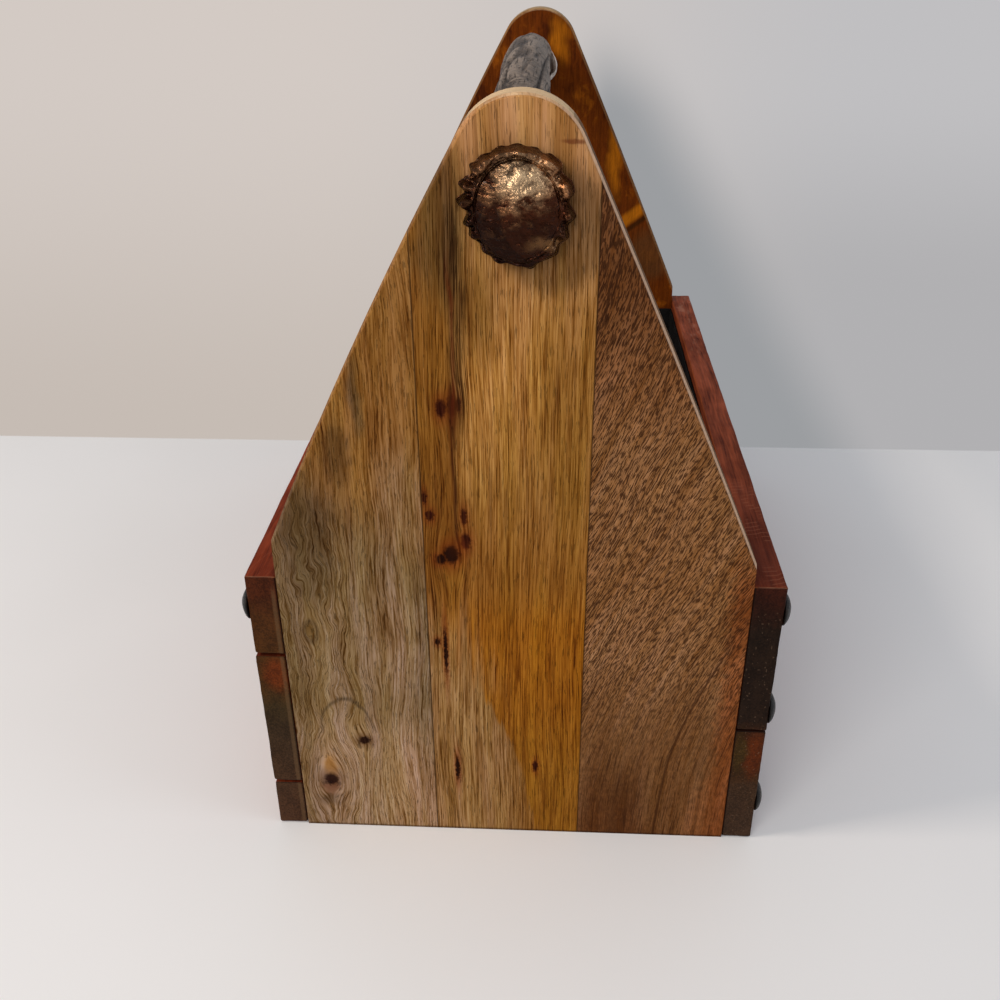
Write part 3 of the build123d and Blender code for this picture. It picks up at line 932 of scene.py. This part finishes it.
def red_wood():
    """Red-stained board: streaked along its length, cloudy, rubbed paler on its corners, with a painted
    highlight along its top arris, marked by the saw in arcs round a far centre, and with bare end grain."""
    paint = new_paint("red_stained_wood")
    point = place(paint)
    x, y, z = parts(point)
    sway = (noise(point, (90, 40, 40), 1) - 0.5) * 8
    grain = vector(x, y + sway, z + sway)
    fibres = noise(grain, (26, 1.1, 1.1), 3, 0.6)
    streaks = noise(grain, (80, 3.4, 3.4), 2, 0.5, (3, 1, 7))
    cloud = noise(point, (34, 16, 16), 3, 0.6, (5, 2, 9))
    front = between(y, 20, -20)
    dark = mix(front, (66, 22, 10), (64, 19, 8))
    bright = mix(front, (164, 80, 48), (146, 60, 30))
    near = between(x + (cloud - 0.5) * 60, 70, 175) * (1 - front)
    bright = mix(near * 0.75, bright, (104, 40, 22))
    light = between(fibres * 0.4 + streaks * 0.35 + cloud * 0.45, 0.42, 0.76, smooth=False)
    round_x, round_y = x - SAW_CENTRE[0], y - SAW_CENTRE[1]
    reach = maths("SQRT", round_x * round_x + round_y * round_y)
    chatter = between(maths("SINE", reach * 1.9 + cloud * 14), 0.55, 0.95)
    chatter = chatter * between(noise(point, (14, 7, 7), 1), 0.5, 0.62)
    chatter = chatter * between(x, 40, 130) * (1 - front * 0.7)
    smudge = between(noise(point, (26, 9, 9), 3, 0.7, (8, 1, 2)), 0.56, 0.72) * between(x, -40, -120)
    away = maths("ABSOLUTE", y)
    squarely, upward = facing(paint)
    speckle = noise(point, (1, 0.9, 0.9), 2, 0.7)
    lumps = noise(point, (9, 7, 9), 3, 0.6, (1, 6, 2))
    ends = end_grain(point, front, away, speckle, lumps)
    on_top = between(z, RAIL_FOOT, RAIL_TOP)
    # pale line along the top arris: rubbed wear and a painted highlight
    arris = between(squarely, 0.12, 0.3) * between(squarely, 0.9, 0.7) * between(upward, 0.2, 0.5)
    arris = arris * between(lumps, 0.35, 0.6) * on_top
    joint = between(maths("ABSOLUTE", upward), 0.1, 0.4) * between(z, 149.5, RAIL_FOOT)
    inner = between(away, 107.2, 106) * between(upward, 0.3, 0.6) * between(upward, 0.99, 0.9) * on_top
    colour = coats(
        mix(light, dark, bright),
        (chatter * 0.22, (170, 104, 76)),
        (smudge * 0.35, (178, 128, 104)),
        (between(squarely, 0.28, 0.5), ends),
        (arris * 0.5, (160, 112, 86)),
        (joint * (0.9 - front * 0.5), (22, 11, 7)),
        (inner * 0.35, (150, 80, 36)),
    )
    relief = fibres * 0.5 + speckle * 0.5
    gloss = swing(cloud, 0.6, 0.46)
    return finish(paint, colour, gloss, bump(relief, 0.0002), Specular_IOR_Level=0.06)


# Each board: its node, its piece, its body and the seed of its wear.
SIDE_BOARDS = (
    ("back_board_lower", "worn_back_board_lower", "carcass", 11),
    ("back_board_upper", "worn_back_board_upper", "carcass", 12),
    ("front_bottom_rail", "worn_bottom_rail", "carcass", 13),
    ("front_top_rail", "worn_top_rail", "carcass", 14),
    ("drawer_front", "worn_drawer_front", "drawer", 15),
)


class TOTE_OT_side_boards(bpy.types.Operator):
    """Make the worn, red-stained boards of the two long sides and the drawer front"""

    bl_idname = "tote.side_boards"
    bl_label = "Make side boards"

    def execute(self, context):
        timber = context.scene.tote_timber
        wood = red_wood()
        for held, piece, body, seed in SIDE_BOARDS:
            shell = worn_plank(held, timber.edge_wear, timber.warp, seed)
            place_piece(piece, [shell], wood, body, [held])
        return {"FINISHED"}


# --- inner wood


def inner_wood(timber, name, turned=False):
    """Unstained wood: pale, with fibres along the tote, or across it, and a few darker streaks."""
    paint = new_paint(name)
    point = place(paint)
    if turned:
        x, y, z = parts(point)
        point = vector(y, x, z)
    sway = (noise(point, (120, 30, 30), 1) - 0.5) * 9
    x, y, z = parts(point)
    grain = vector(x, y + sway, z + sway)
    fibres = noise(grain, (40, 1.2, 1.2), 3, 0.6)
    streaks = noise(grain, (160, 6, 6))
    light = between(fibres * 0.4 + streaks * 0.6, 0.36, 0.68, smooth=False)
    colour = mix(light, (140, 100, 62), timber.plain_wood)
    return finish(paint, colour, 0.62, bump(fibres, 0.00015), Specular_IOR_Level=0.3)


def polished_steel(iron):
    """Zinc-bright steel with fine turned lines."""
    paint = new_paint("zinc_steel")
    lines = noise(place(paint), (0.3, 6, 6))
    return finish(paint, iron.steel, swing(lines, 0.28, 0.45), bump(lines, 0.00003), Metallic=1)


class TOTE_OT_inner_parts(bpy.types.Operator):
    """Finish the floor boards, the drawer's box and the hidden steel"""

    bl_idname = "tote.inner_parts"
    bl_label = "Finish inner parts"

    def execute(self, context):
        timber = context.scene.tote_timber
        wood = inner_wood(timber, "plain_wood")
        side_wood = inner_wood(timber, "plain_side_wood", True)
        steel = polished_steel(context.scene.tote_iron)
        for material, names in (
            (wood, ("bin_floor", "base_board", "drawer_back", "drawer_bottom")),
            (side_wood, ("drawer_side_right", "drawer_side_left")),
            (steel, ("handle_stud_right", "handle_stud_left", "knob_screw")),
        ):
            for name in names:
                dress(name, material)
        return {"FINISHED"}


# --- antler handle

HANDLE_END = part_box("handle_beam")[1].x / MM
HANDLE_RADII = (16.5, 13.8, 12.3, 11.3, 10.9, 10.6, 12.1)
HANDLE_RISE = 23
HANDLE_SWAY = 2.5
HANDLE_RINGS = 220
HANDLE_SIDES = 132


def handle_shell(antler):
    """The beam between the end boards. Its middle line is an arch, 4s(1-s) high; a ring of radius
    r(s), read off the list of radii, is carried along it, and dips by long grooves that twist
    slowly round the beam, with small pearls near the ends. It flares where it is sawn on the left."""
    body = np.linspace(0.02, 0.98, HANDLE_RINGS)
    share = np.concatenate([np.linspace(0, 0.02, 6)[:-1], body, np.linspace(0.98, 1, 8)[1:]])
    turn = np.linspace(0, 2 * np.pi, HANDLE_SIDES, endpoint=False)
    s, angle = np.meshgrid(share, turn, indexing="ij")
    arch = 4 * s * (1 - s)
    x = HANDLE_END - 2 * HANDLE_END * s
    y = CAP_ACROSS - HANDLE_SWAY * arch
    z = CAP_UP + HANDLE_RISE * arch
    radius = np.interp(s, np.linspace(0, 1, len(HANDLE_RADII)), HANDLE_RADII)
    twist = angle + 2.6 * s
    around = np.stack([x / 12, 11 * np.cos(twist), 11 * np.sin(twist)], axis=-1)
    groove = 0.8 - 0.8 * smooth_step(np.abs(rough(around, 5.6, 21, 2)), 0, 0.3)
    pearls = rough(np.stack([x, 12 * np.cos(angle), 12 * np.sin(angle)], axis=-1), 4, 25, 2)
    near_end = smooth_step(np.abs(x), 110, 175)
    relief = 0.5 * ripple(around, 11, 23) - groove + 0.25 * pearls * (0.3 + near_end)
    flare = 0.9 * smooth_step(-x, HANDLE_END - 7, HANDLE_END - 2.5)
    depth = antler.ridge_depth / MM
    faded = 1 - 0.6 * smooth_step(np.abs(x), HANDLE_END - 4, HANDLE_END - 1)
    radius = radius + flare + depth * relief * faded
    rings = np.stack([x, y + radius * np.cos(angle), z + radius * np.sin(angle)], axis=-1)
    return ring_shell(rings, {"relief": relief})


def antler_wood(antler):
    """Grey antler: darker in its grooves, rubbed pale on its ridges, cream where it is sawn, with painted
    shade on its underside.
    """
    paint = new_paint("grey_antler")
    point = place(paint)
    x, _, z = parts(point)
    relief = carried(paint, "relief")
    speck = noise(point, (6, 1.2, 1.2), 3, 0.6)
    cloud = noise(point, (20, 7, 7))
    pits = between(noise(point, (2.2, 2, 2), 0, 0.5, (4, 4, 4)), 0.71, 0.77)
    rings = noise(point, (0.7, 7, 7), 2, 0.6, (2, 5, 1))
    cracks = between(noise(point, (22, 0.9, 0.9), 2, 0.6, (6, 1, 4)), 0.58, 0.66)
    light = relief * 0.7 + (speck - 0.5) * 0.8 + (rings - 0.5) * 1.2
    # painted shade on the underside of the beam, and lighter towards its far end
    light = light - between(z, 338, 318) * 0.3 + between(x, 120, -200) * 0.25
    colour = mix(between(light, -0.45, 0.65), antler.grey, antler.ridge)
    colour = mix(between(relief, -0.35, -1) * 0.85, colour, antler.groove)
    colour = shaded(colour, swing(cloud, 0.9, 1.08))
    rim = between(maths("ABSOLUTE", x) + (speck - 0.5) * 3, HANDLE_END - 9, HANDLE_END - 5)
    colour = coats(colour, (either(pits, cracks) * 0.7, antler.groove), (rim * 0.95, antler.sawn))
    normal = bump(speck + rings - pits - cracks, 0.0005)
    return finish(paint, colour, swing(speck, 0.42, 0.6), normal, Specular_IOR_Level=0.1)


class TOTE_OT_handle(bpy.types.Operator):
    """Make the grooved antler beam that is the handle"""

    bl_idname = "tote.handle"
    bl_label = "Make handle"

    def execute(self, context):
        antler = context.scene.tote_antler
        shell = handle_shell(antler)
        place_piece("antler_beam", [shell], antler_wood(antler), "carcass", ["handle_beam"])
        return {"FINISHED"}


# --- burr caps

# The burr's rim, as (angle from the back towards the top, distance from the middle, height): lobes
# with clefts between them. Its middle is an ellipse, given by its centre and half-axes.
BURR_RIM = (
    (-167, 19.2, 4.6), (-157, 21.6, 8), (-151, 20.4, 5), (-144, 22, 7.8), (-134, 20.8, 4.8),
    (-124, 22.8, 7), (-117, 22.6, 5), (-108, 24, 6.8), (-98, 23.4, 5.4), (-88, 24, 6.6),
    (-79, 25.6, 5.6), (-71, 24, 6.6), (-63, 24, 5), (-54, 24.2, 7.4), (-45, 22.2, 4.8),
    (-35, 22.8, 7.6), (-27, 20.4, 4.8), (-15, 21.8, 8.8), (-1, 18.4, 4.8), (10, 20.6, 9),
    (18, 20.4, 8.8), (31, 18.6, 5), (41, 20.4, 8.6), (54, 20, 8.4), (62, 18.6, 6.6),
    (70, 19.4, 8.6), (80, 18.8, 8.2), (90, 19.6, 9), (100, 19.2, 8), (109, 19.9, 8.6),
    (120, 19.4, 7.4), (131, 20.6, 8.8), (138, 20.4, 8), (144, 21.4, 8.6), (151, 19, 5),
    (157, 20.6, 3.4), (163, 22.2, 6.4), (171, 19.4, 4.6), (180, 22.3, 9.2),
)
BURR_DISC = (-0.2, -2.7, 15.3, 18)
BURR_DOME, BURR_FALL = 11.9, 4.4
BURR_THINNEST, BURR_THICKEST = 1, 12.4
BURR_SIDES = 320
BURR_RINGS = 38
BURR_TURN = 0.7
BURR_LIP = 0.7


def disc_edge(turn):
    """Distance of the ellipse's edge from the middle, in the direction of each angle."""
    aside, up, wide, high = BURR_DISC
    across, along = np.cos(turn), np.sin(turn)
    square = (across / wide) ** 2 + (along / high) ** 2
    half = -(across * aside / wide**2 + along * up / high**2)
    rest = (aside / wide) ** 2 + (up / high) ** 2 - 1
    return (np.sqrt(half**2 - square * rest) - half) / square


def burr_shell(side):
    """A disc on the end board, given by its height over rings and angles. The middle is a crumpled
    dome that falls with the square of r/e, where e is the ellipse's edge. Outside a thin ring
    groove a rim of lobes, blended by 3t^2 - 2t^3 between the listed angles, swells to its own
    height and rolls over to the edge."""
    turn = np.linspace(0, 2 * np.pi, BURR_SIDES, endpoint=False)
    flat = np.stack([0 * turn, 12 * np.cos(turn), 12 * np.sin(turn)], axis=-1)
    marks = np.array(BURR_RIM + tuple((a + 360, r, h) for a, r, h in BURR_RIM[:1]), float)
    first = marks[0, 0]
    degrees = (np.degrees(turn) - first) % 360 + first
    degrees = degrees + 2 * ripple(np.stack([degrees, 0 * turn, 0 * turn], axis=-1), 9, 57 + side)
    degrees = (degrees - first) % 360 + first
    slot = np.clip(np.searchsorted(marks[:, 0], degrees, side="right") - 1, 0, len(marks) - 2)
    part = smooth_step((degrees - marks[slot, 0]) / (marks[slot + 1, 0] - marks[slot, 0]), 0, 1)
    rim, lobe = (marks[slot, k] * (1 - part) + marks[slot + 1, k] * part for k in (1, 2))
    rim = rim + 0.3 * rough(flat, 2.2, 41 + side)
    edge = disc_edge(turn)
    steps = np.linspace(0.03, 1, BURR_RINGS)[:, None]
    groove = np.linspace(-0.55, BURR_LIP, 10)[:, None] + edge
    start = edge + BURR_LIP
    radius = np.vstack([steps * (edge - BURR_LIP), groove, start + steps * (rim - start)])
    plane_y, plane_z = radius * np.cos(turn), radius * np.sin(turn)
    spread = np.stack([0 * plane_y, plane_y, plane_z], axis=-1)
    out = np.clip((radius - edge) / (rim - edge), 0, 1)
    height = BURR_DOME - BURR_FALL * np.minimum(radius / edge, 1) ** 2
    height += (lobe - 7.5) * smooth_step(out, 0.05, 0.45)
    height -= (lobe - 2.2) * smooth_step(out, 0.55, 1) ** 1.6
    open_groove = 0.3 + 0.7 * smooth_step(np.sin(turn - 0.2), -0.4, 0.3)
    height -= 0.9 * open_groove * np.exp(-(((radius - edge) / 0.4) ** 2))
    crumple = rough(spread, 6.4, 43 + side, 4)
    folds = np.abs(rough(spread * np.array([1, 1, 1.7]), 7.5, 47 + side, 3))
    folds = 1 - smooth_step(folds, 0, 0.28)
    height += 0.75 * crumple - 0.35 * folds * (1 - out)
    height += 1.3 * smooth_step(out, 0, 0.3) * rough(spread, 3, 53 + side, 3)
    height = np.clip(height, BURR_THINNEST, BURR_THICKEST)
    wall = np.array([0.8, 0.5, 0.2, 0])[:, None]
    wall_radius = radius[-1] * (1 - 0.05 * (1 - wall) ** 2)
    back = np.array([0.8, 0.5, 0.15])[:, None]
    all_radius = np.vstack([radius, wall_radius, back * wall_radius[-1]])
    all_height = np.vstack([height, height[-1] * wall, 0 * back + 0 * turn])
    sign, spin = (1, 0) if side == 0 else (-1, BURR_TURN)
    across = CAP_ACROSS + all_radius * np.cos(turn + spin)
    up = CAP_UP + all_radius * np.sin(turn + spin)
    rings = np.stack([sign * (HALF_LENGTH + all_height), across, up], axis=-1)
    mark = np.where(radius < edge, 0.6 + 0.5 * crumple - 0.4 * folds, smooth_step(height, 3.5, 10))
    mark = np.vstack([mark, 0 * wall_radius, 0 * back + 0 * turn])
    return ring_shell(rings, {"relief": mark})


def burr_varnish(antler):
    """Varnished burr: dark brown, near black in its hollows, glossy, with painted light on its upper half, a
    painted highlight high on its left and painted shade over its lower half.
    """
    paint = new_paint("varnished_burr")
    point = place(paint)
    cloud = noise(point, (5, 4.4, 3.2), 3, 0.55)
    speck = noise(point, (0.8, 0.8, 0.8), 3, 0.65)
    up = parts(point)[2] - CAP_UP
    loose = ragged(point, 5, 6)
    light = carried(paint, "relief") * 0.5 + (cloud - 0.5) * 1.7 + (speck - 0.5) * 0.7
    # painted light: the upper half of the burr lighter than the lower
    light = light + between(up, -12, 12) * 0.55
    colour = mix(between(light, 0.3, 1.3), antler.burr_dark, antler.burr_light)
    # painted highlight high on the left of the dome
    glare = hill(loose, on_cap(-8.5, 9), (8, 6.5)) * between(light, 0.2, 1.1)
    colour = mix(glare * 0.95, colour, (255, 216, 168))
    # painted shade over the lower half of the burr
    shade = between(up, 2, -9) + (cloud - 0.5) * 2.4
    colour = shaded(colour, between(shade, 0.1, 1.1, 1, 0.52))
    colour = mix(spot(loose, on_cap(1, -14.5), (7.5, 2.2), 0.7) * 0.6, colour, (124, 88, 54))
    rim = between(distance(point, on_cap(*BURR_DISC[:2]), BURR_DISC[2:]), 1, 1.08)
    colour = marked(colour, rim, 0.55)
    gloss = swing(speck, 0.14, 0.3)
    normal = bump(cloud * 1.1 + speck * 0.12, 0.0013)
    shine = {"Metallic": 0.9, "Specular_IOR_Level": 0.2, "Coat_Weight": 0.06, "Coat_Roughness": 0.08}
    return finish(paint, colour, gloss, normal, **shine)


class TOTE_OT_burr_caps(bpy.types.Operator):
    """Make the varnished burrs that cap the handle outside the end boards"""

    bl_idname = "tote.burr_caps"
    bl_label = "Make burr caps"

    def execute(self, context):
        varnish = burr_varnish(context.scene.tote_antler)
        for side, end in enumerate(("right", "left")):
            shell = burr_shell(side)
            place_piece(f"antler_burr_{end}", [shell], varnish, "carcass", [f"burr_cap_{end}"])
        return {"FINISHED"}


# --- nails and knob


def turned_shell(profile, centre, axis, sides, dent, seed):
    """A profile of (radius, height) turned round an axis through centre; the surface dips by
    dent * rough noise, as hammered iron does."""
    profile = np.array(profile, float)
    axis = np.array(axis, float)
    first = np.cross(axis, [0, 0, 1])
    second = np.cross(axis, first)
    turn = np.linspace(0, 2 * np.pi, sides, endpoint=False)[None, :, None]
    radius, height = (profile[:, column][:, None, None] for column in (0, 1))
    points = radius * (np.cos(turn) * first + np.sin(turn) * second) + height * axis
    dip = dent * rough(points + seed * 17, 4.5, seed)[..., None]
    outward = points / np.maximum(np.linalg.norm(points, axis=-1, keepdims=True), 0.5)
    outward = outward * smooth_step(height, 0, 1.2)
    return ring_shell(points + dip * outward + np.array(centre, float))


def nail_seats(node_name, outward, rows):
    """The places of a node's nails: one at each end of the tote in every row. Their middles lie a
    head's radius inside the node's box, and the rows are spaced evenly up the board."""
    low, high = (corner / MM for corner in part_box(node_name))
    radius, reach = NAIL_HEAD["radius"], NAIL_HEAD["height"]
    face = high.y - reach if outward > 0 else low.y + reach
    heights = np.linspace(low.z + radius, high.z - radius, rows)
    return [(across, face, up) for up in heights for across in (low.x + radius, high.x - radius)]


def black_iron(iron):
    """Blackened iron: near black, dented, with a dull sheen and a trace of brown."""
    paint = new_paint("black_iron")
    point = place(paint)
    dents = noise(point, (3.2, 3.2, 3.2))
    grit = noise(point, (0.6, 0.6, 0.6), 3, 0.6)
    colour = mix(between(dents, 0.5, 0.75), iron.iron, (38, 29, 23))
    gloss = swing(grit, 0.34, 0.55)
    normal = bump(dents + grit * 0.25, 0.0004)
    return finish(paint, colour, gloss, normal, Metallic=0.3, Specular_IOR_Level=0.3)


NAIL_SIDES, NAIL_SEED = 44, 61
NAIL_HEAD = {"radius": 8, "height": 5, "worn_height": 3.8, "rim": 0.8, "shank": 1.4, "length": 12}


def nail_profile():
    """Shank, flat underside, thin rim and a dome that is part of a sphere."""
    radius, _, height, rim, shank, length = NAIL_HEAD.values()
    stem = [(shank, -length), (shank, -0.4), (shank, 0)]
    under = [(radius * share, 0.02) for share in (0.4, 0.7, 0.93)]
    edge = [(radius - 0.05, 0.15), (radius, rim * 0.6), (radius - 0.25, rim)]
    rise = height - rim
    ball = (radius**2 + rise**2) / (2 * rise)
    angles = np.linspace(math.asin((radius - 0.25) / ball), 0.02, 12)[1:]
    dome = [(ball * math.sin(angle), height - ball * (1 - math.cos(angle))) for angle in angles]
    return stem + under + edge + dome


class TOTE_OT_nails(bpy.types.Operator):
    """Make the hammered dome nails of the front and the back"""

    bl_idname = "tote.nails"
    bl_label = "Make dome nails"

    def execute(self, context):
        iron = context.scene.tote_iron
        black = black_iron(iron)
        dent = iron.dent_depth / MM
        for side, outward, rows in (("rear", 1, 3), ("front", -1, 1)):
            held = f"dome_nails_{side}"
            shells = [
                turned_shell(nail_profile(), seat, (0, outward, 0), NAIL_SIDES, dent, NAIL_SEED + index)
                for index, seat in enumerate(nail_seats(held, outward, rows))
            ]
            place_piece(f"hammered_nails_{side}", shells, black, "carcass", [held])
        return {"FINISHED"}


KNOB_SIDES, KNOB_SEED = 72, 77
# Rose, neck and head of the drawer pull, as radius against reach from the drawer front.
KNOB_PROFILE = (
    (2, 0), (12, 0), (14.6, 0.1), (15, 0.6), (14.9, 1.3), (14, 2.1), (12.2, 2.6), (8.5, 2.9), (6.4, 3.8),
    (5.6, 5.6), (5.5, 8.5), (5.8, 10.8), (7, 12.4), (9.6, 13.8), (12, 15.4), (13.2, 17.2), (13.5, 19.2),
    (13, 21.2), (11.6, 22.9), (9.4, 24.2), (6.6, 25), (3.4, 25.4), (0.6, 25.5),
)


class TOTE_OT_knob(bpy.types.Operator):
    """Make the drawer's iron pull with its rose"""

    bl_idname = "tote.knob"
    bl_label = "Make drawer pull"

    def execute(self, context):
        low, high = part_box("drawer_knob")
        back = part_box("knob_rose")[1].y
        seat = ((low.x + high.x) / 2 / MM, back / MM, (low.z + high.z) / 2 / MM)
        iron = context.scene.tote_iron
        dent = iron.dent_depth / MM
        shell = turned_shell(KNOB_PROFILE, seat, (0, -1, 0), KNOB_SIDES, dent, KNOB_SEED)
        material = bpy.data.materials.get("black_iron") or black_iron(iron)
        nodes = ["knob_rose", "drawer_knob"]
        place_piece("iron_drawer_pull", [shell], material, "drawer", nodes)
        return {"FINISHED"}


# --- felt lining


def black_felt(felt):
    """Black wool felt: no gloss, a soft nap and short matted fibres."""
    paint = new_paint("black_felt")
    point = place(paint)
    nap = noise(point, (0.5, 0.5, 0.5), 4, 0.7, swirl=1.2)
    cloud = noise(point, (14, 14, 14))
    share = between(nap * 0.7 + cloud * 0.3, 0.35, 0.7, smooth=False)
    return finish(paint, mix(share, (14, 14, 14), felt.felt), 1, bump(nap, 0.0003), Specular_IOR_Level=0)


FELT_WEAR, FELT_STEP, FELT_SEED = 0.00045, 4, 81
LININGS = {
    # piece: the axis along its length, the two axes that it is flat in, what it rests on
    "right": (1, (1, 2), "right_end_board_middle"),
    "left": (1, (1, 2), "left_end_board_middle"),
    "front": (0, (0, 2), "front_top_rail"),
    "back": (0, (0, 2), "back_board_upper"),
    "floor": (0, (0, 1), "bin_floor"),
}


class TOTE_OT_felt_lining(bpy.types.Operator):
    """Make the five sheets of black felt that line the open bin"""

    bl_idname = "tote.felt_lining"
    bl_label = "Make felt lining"

    def execute(self, context):
        felt = context.scene.tote_felt
        cloth = black_felt(felt)
        for index, (side, (along, flat, support)) in enumerate(LININGS.items()):
            lining = f"lining_{side}"
            shell = worn_plank(lining, FELT_WEAR, felt.ripple_height, FELT_SEED + index, along, FELT_STEP)
            made = place_piece(f"felt_{side}", [shell], cloth, "carcass", [lining])
        return {"FINISHED"}


# --- stage

CAMERA_PLACE = (0.57774, 0.02622, 0.40498)
CAMERA_RIGHT = (-0.051044, 0.998664, -0.007999)
CAMERA_UP = (-0.489133, -0.018015, 0.872023)
CAMERA_BACK = (0.870715, 0.048424, 0.489400)
LAMP_AIM = (0.1, 0, 0.15)
# Lamps: place, width and height in metres, colour.
LAMPS = {
    "window": ((1.9, -0.9, 1.35), (1.2, 0.9), (1, 0.97, 0.93)),
    "warm": ((0.4, -1.15, 1.2), (0.32, 0.32), (1, 0.88, 0.76)),
    "fill": ((0.4, 1.5, 0.9), (0.9, 0.9), (0.86, 0.92, 1)),
}
SKY_COLOUR = (0.9, 0.94, 1, 1)
FLOOR_REACH = 9
WALL_LINE = -245
FAN_PLACE = (578, 26)
FAN_REACH = 405


def floor_paint(stage):
    """Pale floor. Far behind the tote it glows in the tones of a wall, for camera rays alone: warm on
    the left and cool on the right, in bands that fan out from a place in front of the tote, with a
    soft shadow beside it; everything else meets plain floor."""
    paint = new_paint("pale_floor")
    tree = paint.node_tree
    point = node("ShaderNodeTexCoord", {}, "Object", tree)
    x, y, _ = parts(stretched(point, (1 / MM,) * 3))
    cloud = noise(point, (0.24, 0.24, 0.24))
    floor = shaded(stage.floor, swing(cloud, 0.985, 1.01))
    far = FAN_PLACE[0] - x
    aside = (y - FAN_PLACE[1]) / far
    steep = FAN_REACH / far
    left = mix(between(steep, 0.1, 0.48), stage.wall_high, stage.wall_low)
    right = shaded(stage.wall_right, between(steep, 0.12, 0.32, 1.1, 0.92))
    wall = mix(between(aside, -0.25, 0.3), left, right)
    shade = between(aside - steep * 0.63, 0.045, -0.045) * between(aside, 0, 0.05)
    wall = mix(shade * between(steep, 0.06, 0.16), wall, stage.wall_shade)
    seen = node("ShaderNodeLightPath", {}, "Is Camera Ray", tree)
    glow = node("ShaderNodeEmission", {0: wall, 1: 1})
    finish(paint, floor, 0.6, None, Specular_IOR_Level=0.2)
    inside = between(maths("ABSOLUTE", aside), 0.85, 0.66)
    behind = between(x, WALL_LINE + 1.5, WALL_LINE - 1.5) * inside * seen
    lit = Wire(tree, tree.nodes["Principled BSDF"].outputs[0])
    both = node("ShaderNodeMixShader", {0: behind, 1: lit, 2: glow})
    plug(tree, tree.nodes["Material Output"].inputs["Surface"], both)
    return paint


class TOTE_OT_stage(bpy.types.Operator):
    """Lay the pale floor, hang the lamps and set up the camera"""

    bl_idname = "tote.stage"
    bl_label = "Set up the stage"

    def execute(self, context):
        scene = context.scene
        stage = scene.tote_stage
        mesh = bpy.data.meshes.new("pale_floor")
        corners = [(FLOOR_REACH * x, FLOOR_REACH * y, 0) for x, y in ((-1, -1), (1, -1), (1, 1), (-1, 1))]
        mesh.from_pydata(corners, [], [(0, 1, 2, 3)])
        mesh.materials.append(floor_paint(stage))
        floor = add_object("pale_floor", mesh)

        for kind, (spot_on, size, colour) in LAMPS.items():
            light = bpy.data.lights.new(f"{kind}_lamp", "AREA")
            light.shape = "RECTANGLE"
            light.size, light.size_y = size
            light.energy = getattr(stage, f"{kind}_light")
            light.color = colour
            lamp = add_object(f"{kind}_lamp", light)
            lamp.location = spot_on
            lamp.rotation_mode = "QUATERNION"
            lamp.rotation_quaternion = (lamp.location - Vector(LAMP_AIM)).to_track_quat("Z", "Y")
        world = bpy.data.worlds.new("even_light")
        world.use_nodes = True
        sky = world.node_tree.nodes["Background"]
        sky.inputs["Color"].default_value = SKY_COLOUR
        sky.inputs["Strength"].default_value = stage.sky
        scene.world = world
        scene.view_settings.view_transform = "Standard"

        lens = bpy.data.cameras.new("tote_camera")
        lens.lens = stage.focal_length
        lens.sensor_width = 36
        lens.sensor_fit = "HORIZONTAL"
        camera = add_object("tote_camera", lens)
        turned = Matrix((CAMERA_RIGHT, CAMERA_UP, CAMERA_BACK)).transposed().to_4x4()
        camera.matrix_world = Matrix.Translation(CAMERA_PLACE) @ turned
        scene.camera = camera
        return {"FINISHED"}


# --- panel and registration


class TOTE_PT_panel(bpy.types.Panel):
    """Lists the operators and settings of the tote"""

    bl_idname = "TOTE_PT_panel"
    bl_label = "Wooden Tool Tote"
    bl_space_type = "VIEW_3D"
    bl_region_type = "UI"
    bl_category = "Tote"

    def draw(self, context):
        for operator in OPERATORS:
            self.layout.operator(operator.bl_idname)
        for group in SETTINGS:
            held = getattr(context.scene, group)
            box = self.layout.box()
            for name in SETTINGS[group].__annotations__:
                box.prop(held, name)


OPERATORS = (
    TOTE_OT_stage,
    TOTE_OT_end_boards,
    TOTE_OT_side_boards,
    TOTE_OT_inner_parts,
    TOTE_OT_handle,
    TOTE_OT_burr_caps,
    TOTE_OT_nails,
    TOTE_OT_knob,
    TOTE_OT_felt_lining,
)
SETTINGS = {
    "tote_timber": TimberSettings,
    "tote_antler": AntlerSettings,
    "tote_iron": IronSettings,
    "tote_felt": FeltSettings,
    "tote_stage": StageSettings,
}
CLASSES = (*SETTINGS.values(), *OPERATORS, TOTE_PT_panel)


def register():
    for entry in CLASSES:
        bpy.utils.register_class(entry)
    for name, group in SETTINGS.items():
        setattr(bpy.types.Scene, name, PointerProperty(type=group))


def unregister():
    for name in SETTINGS:
        delattr(bpy.types.Scene, name)
    for entry in reversed(CLASSES):
        bpy.utils.unregister_class(entry)


def main():
    register()
    bpy.ops.tote.stage()
    bpy.ops.tote.end_boards()
    bpy.ops.tote.side_boards()
    bpy.ops.tote.inner_parts()
    bpy.ops.tote.handle()
    bpy.ops.tote.burr_caps()
    bpy.ops.tote.nails()
    bpy.ops.tote.knob()
    bpy.ops.tote.felt_lining()
    bpy.context.view_layer.update()


if __name__ == "__main__":
    main()
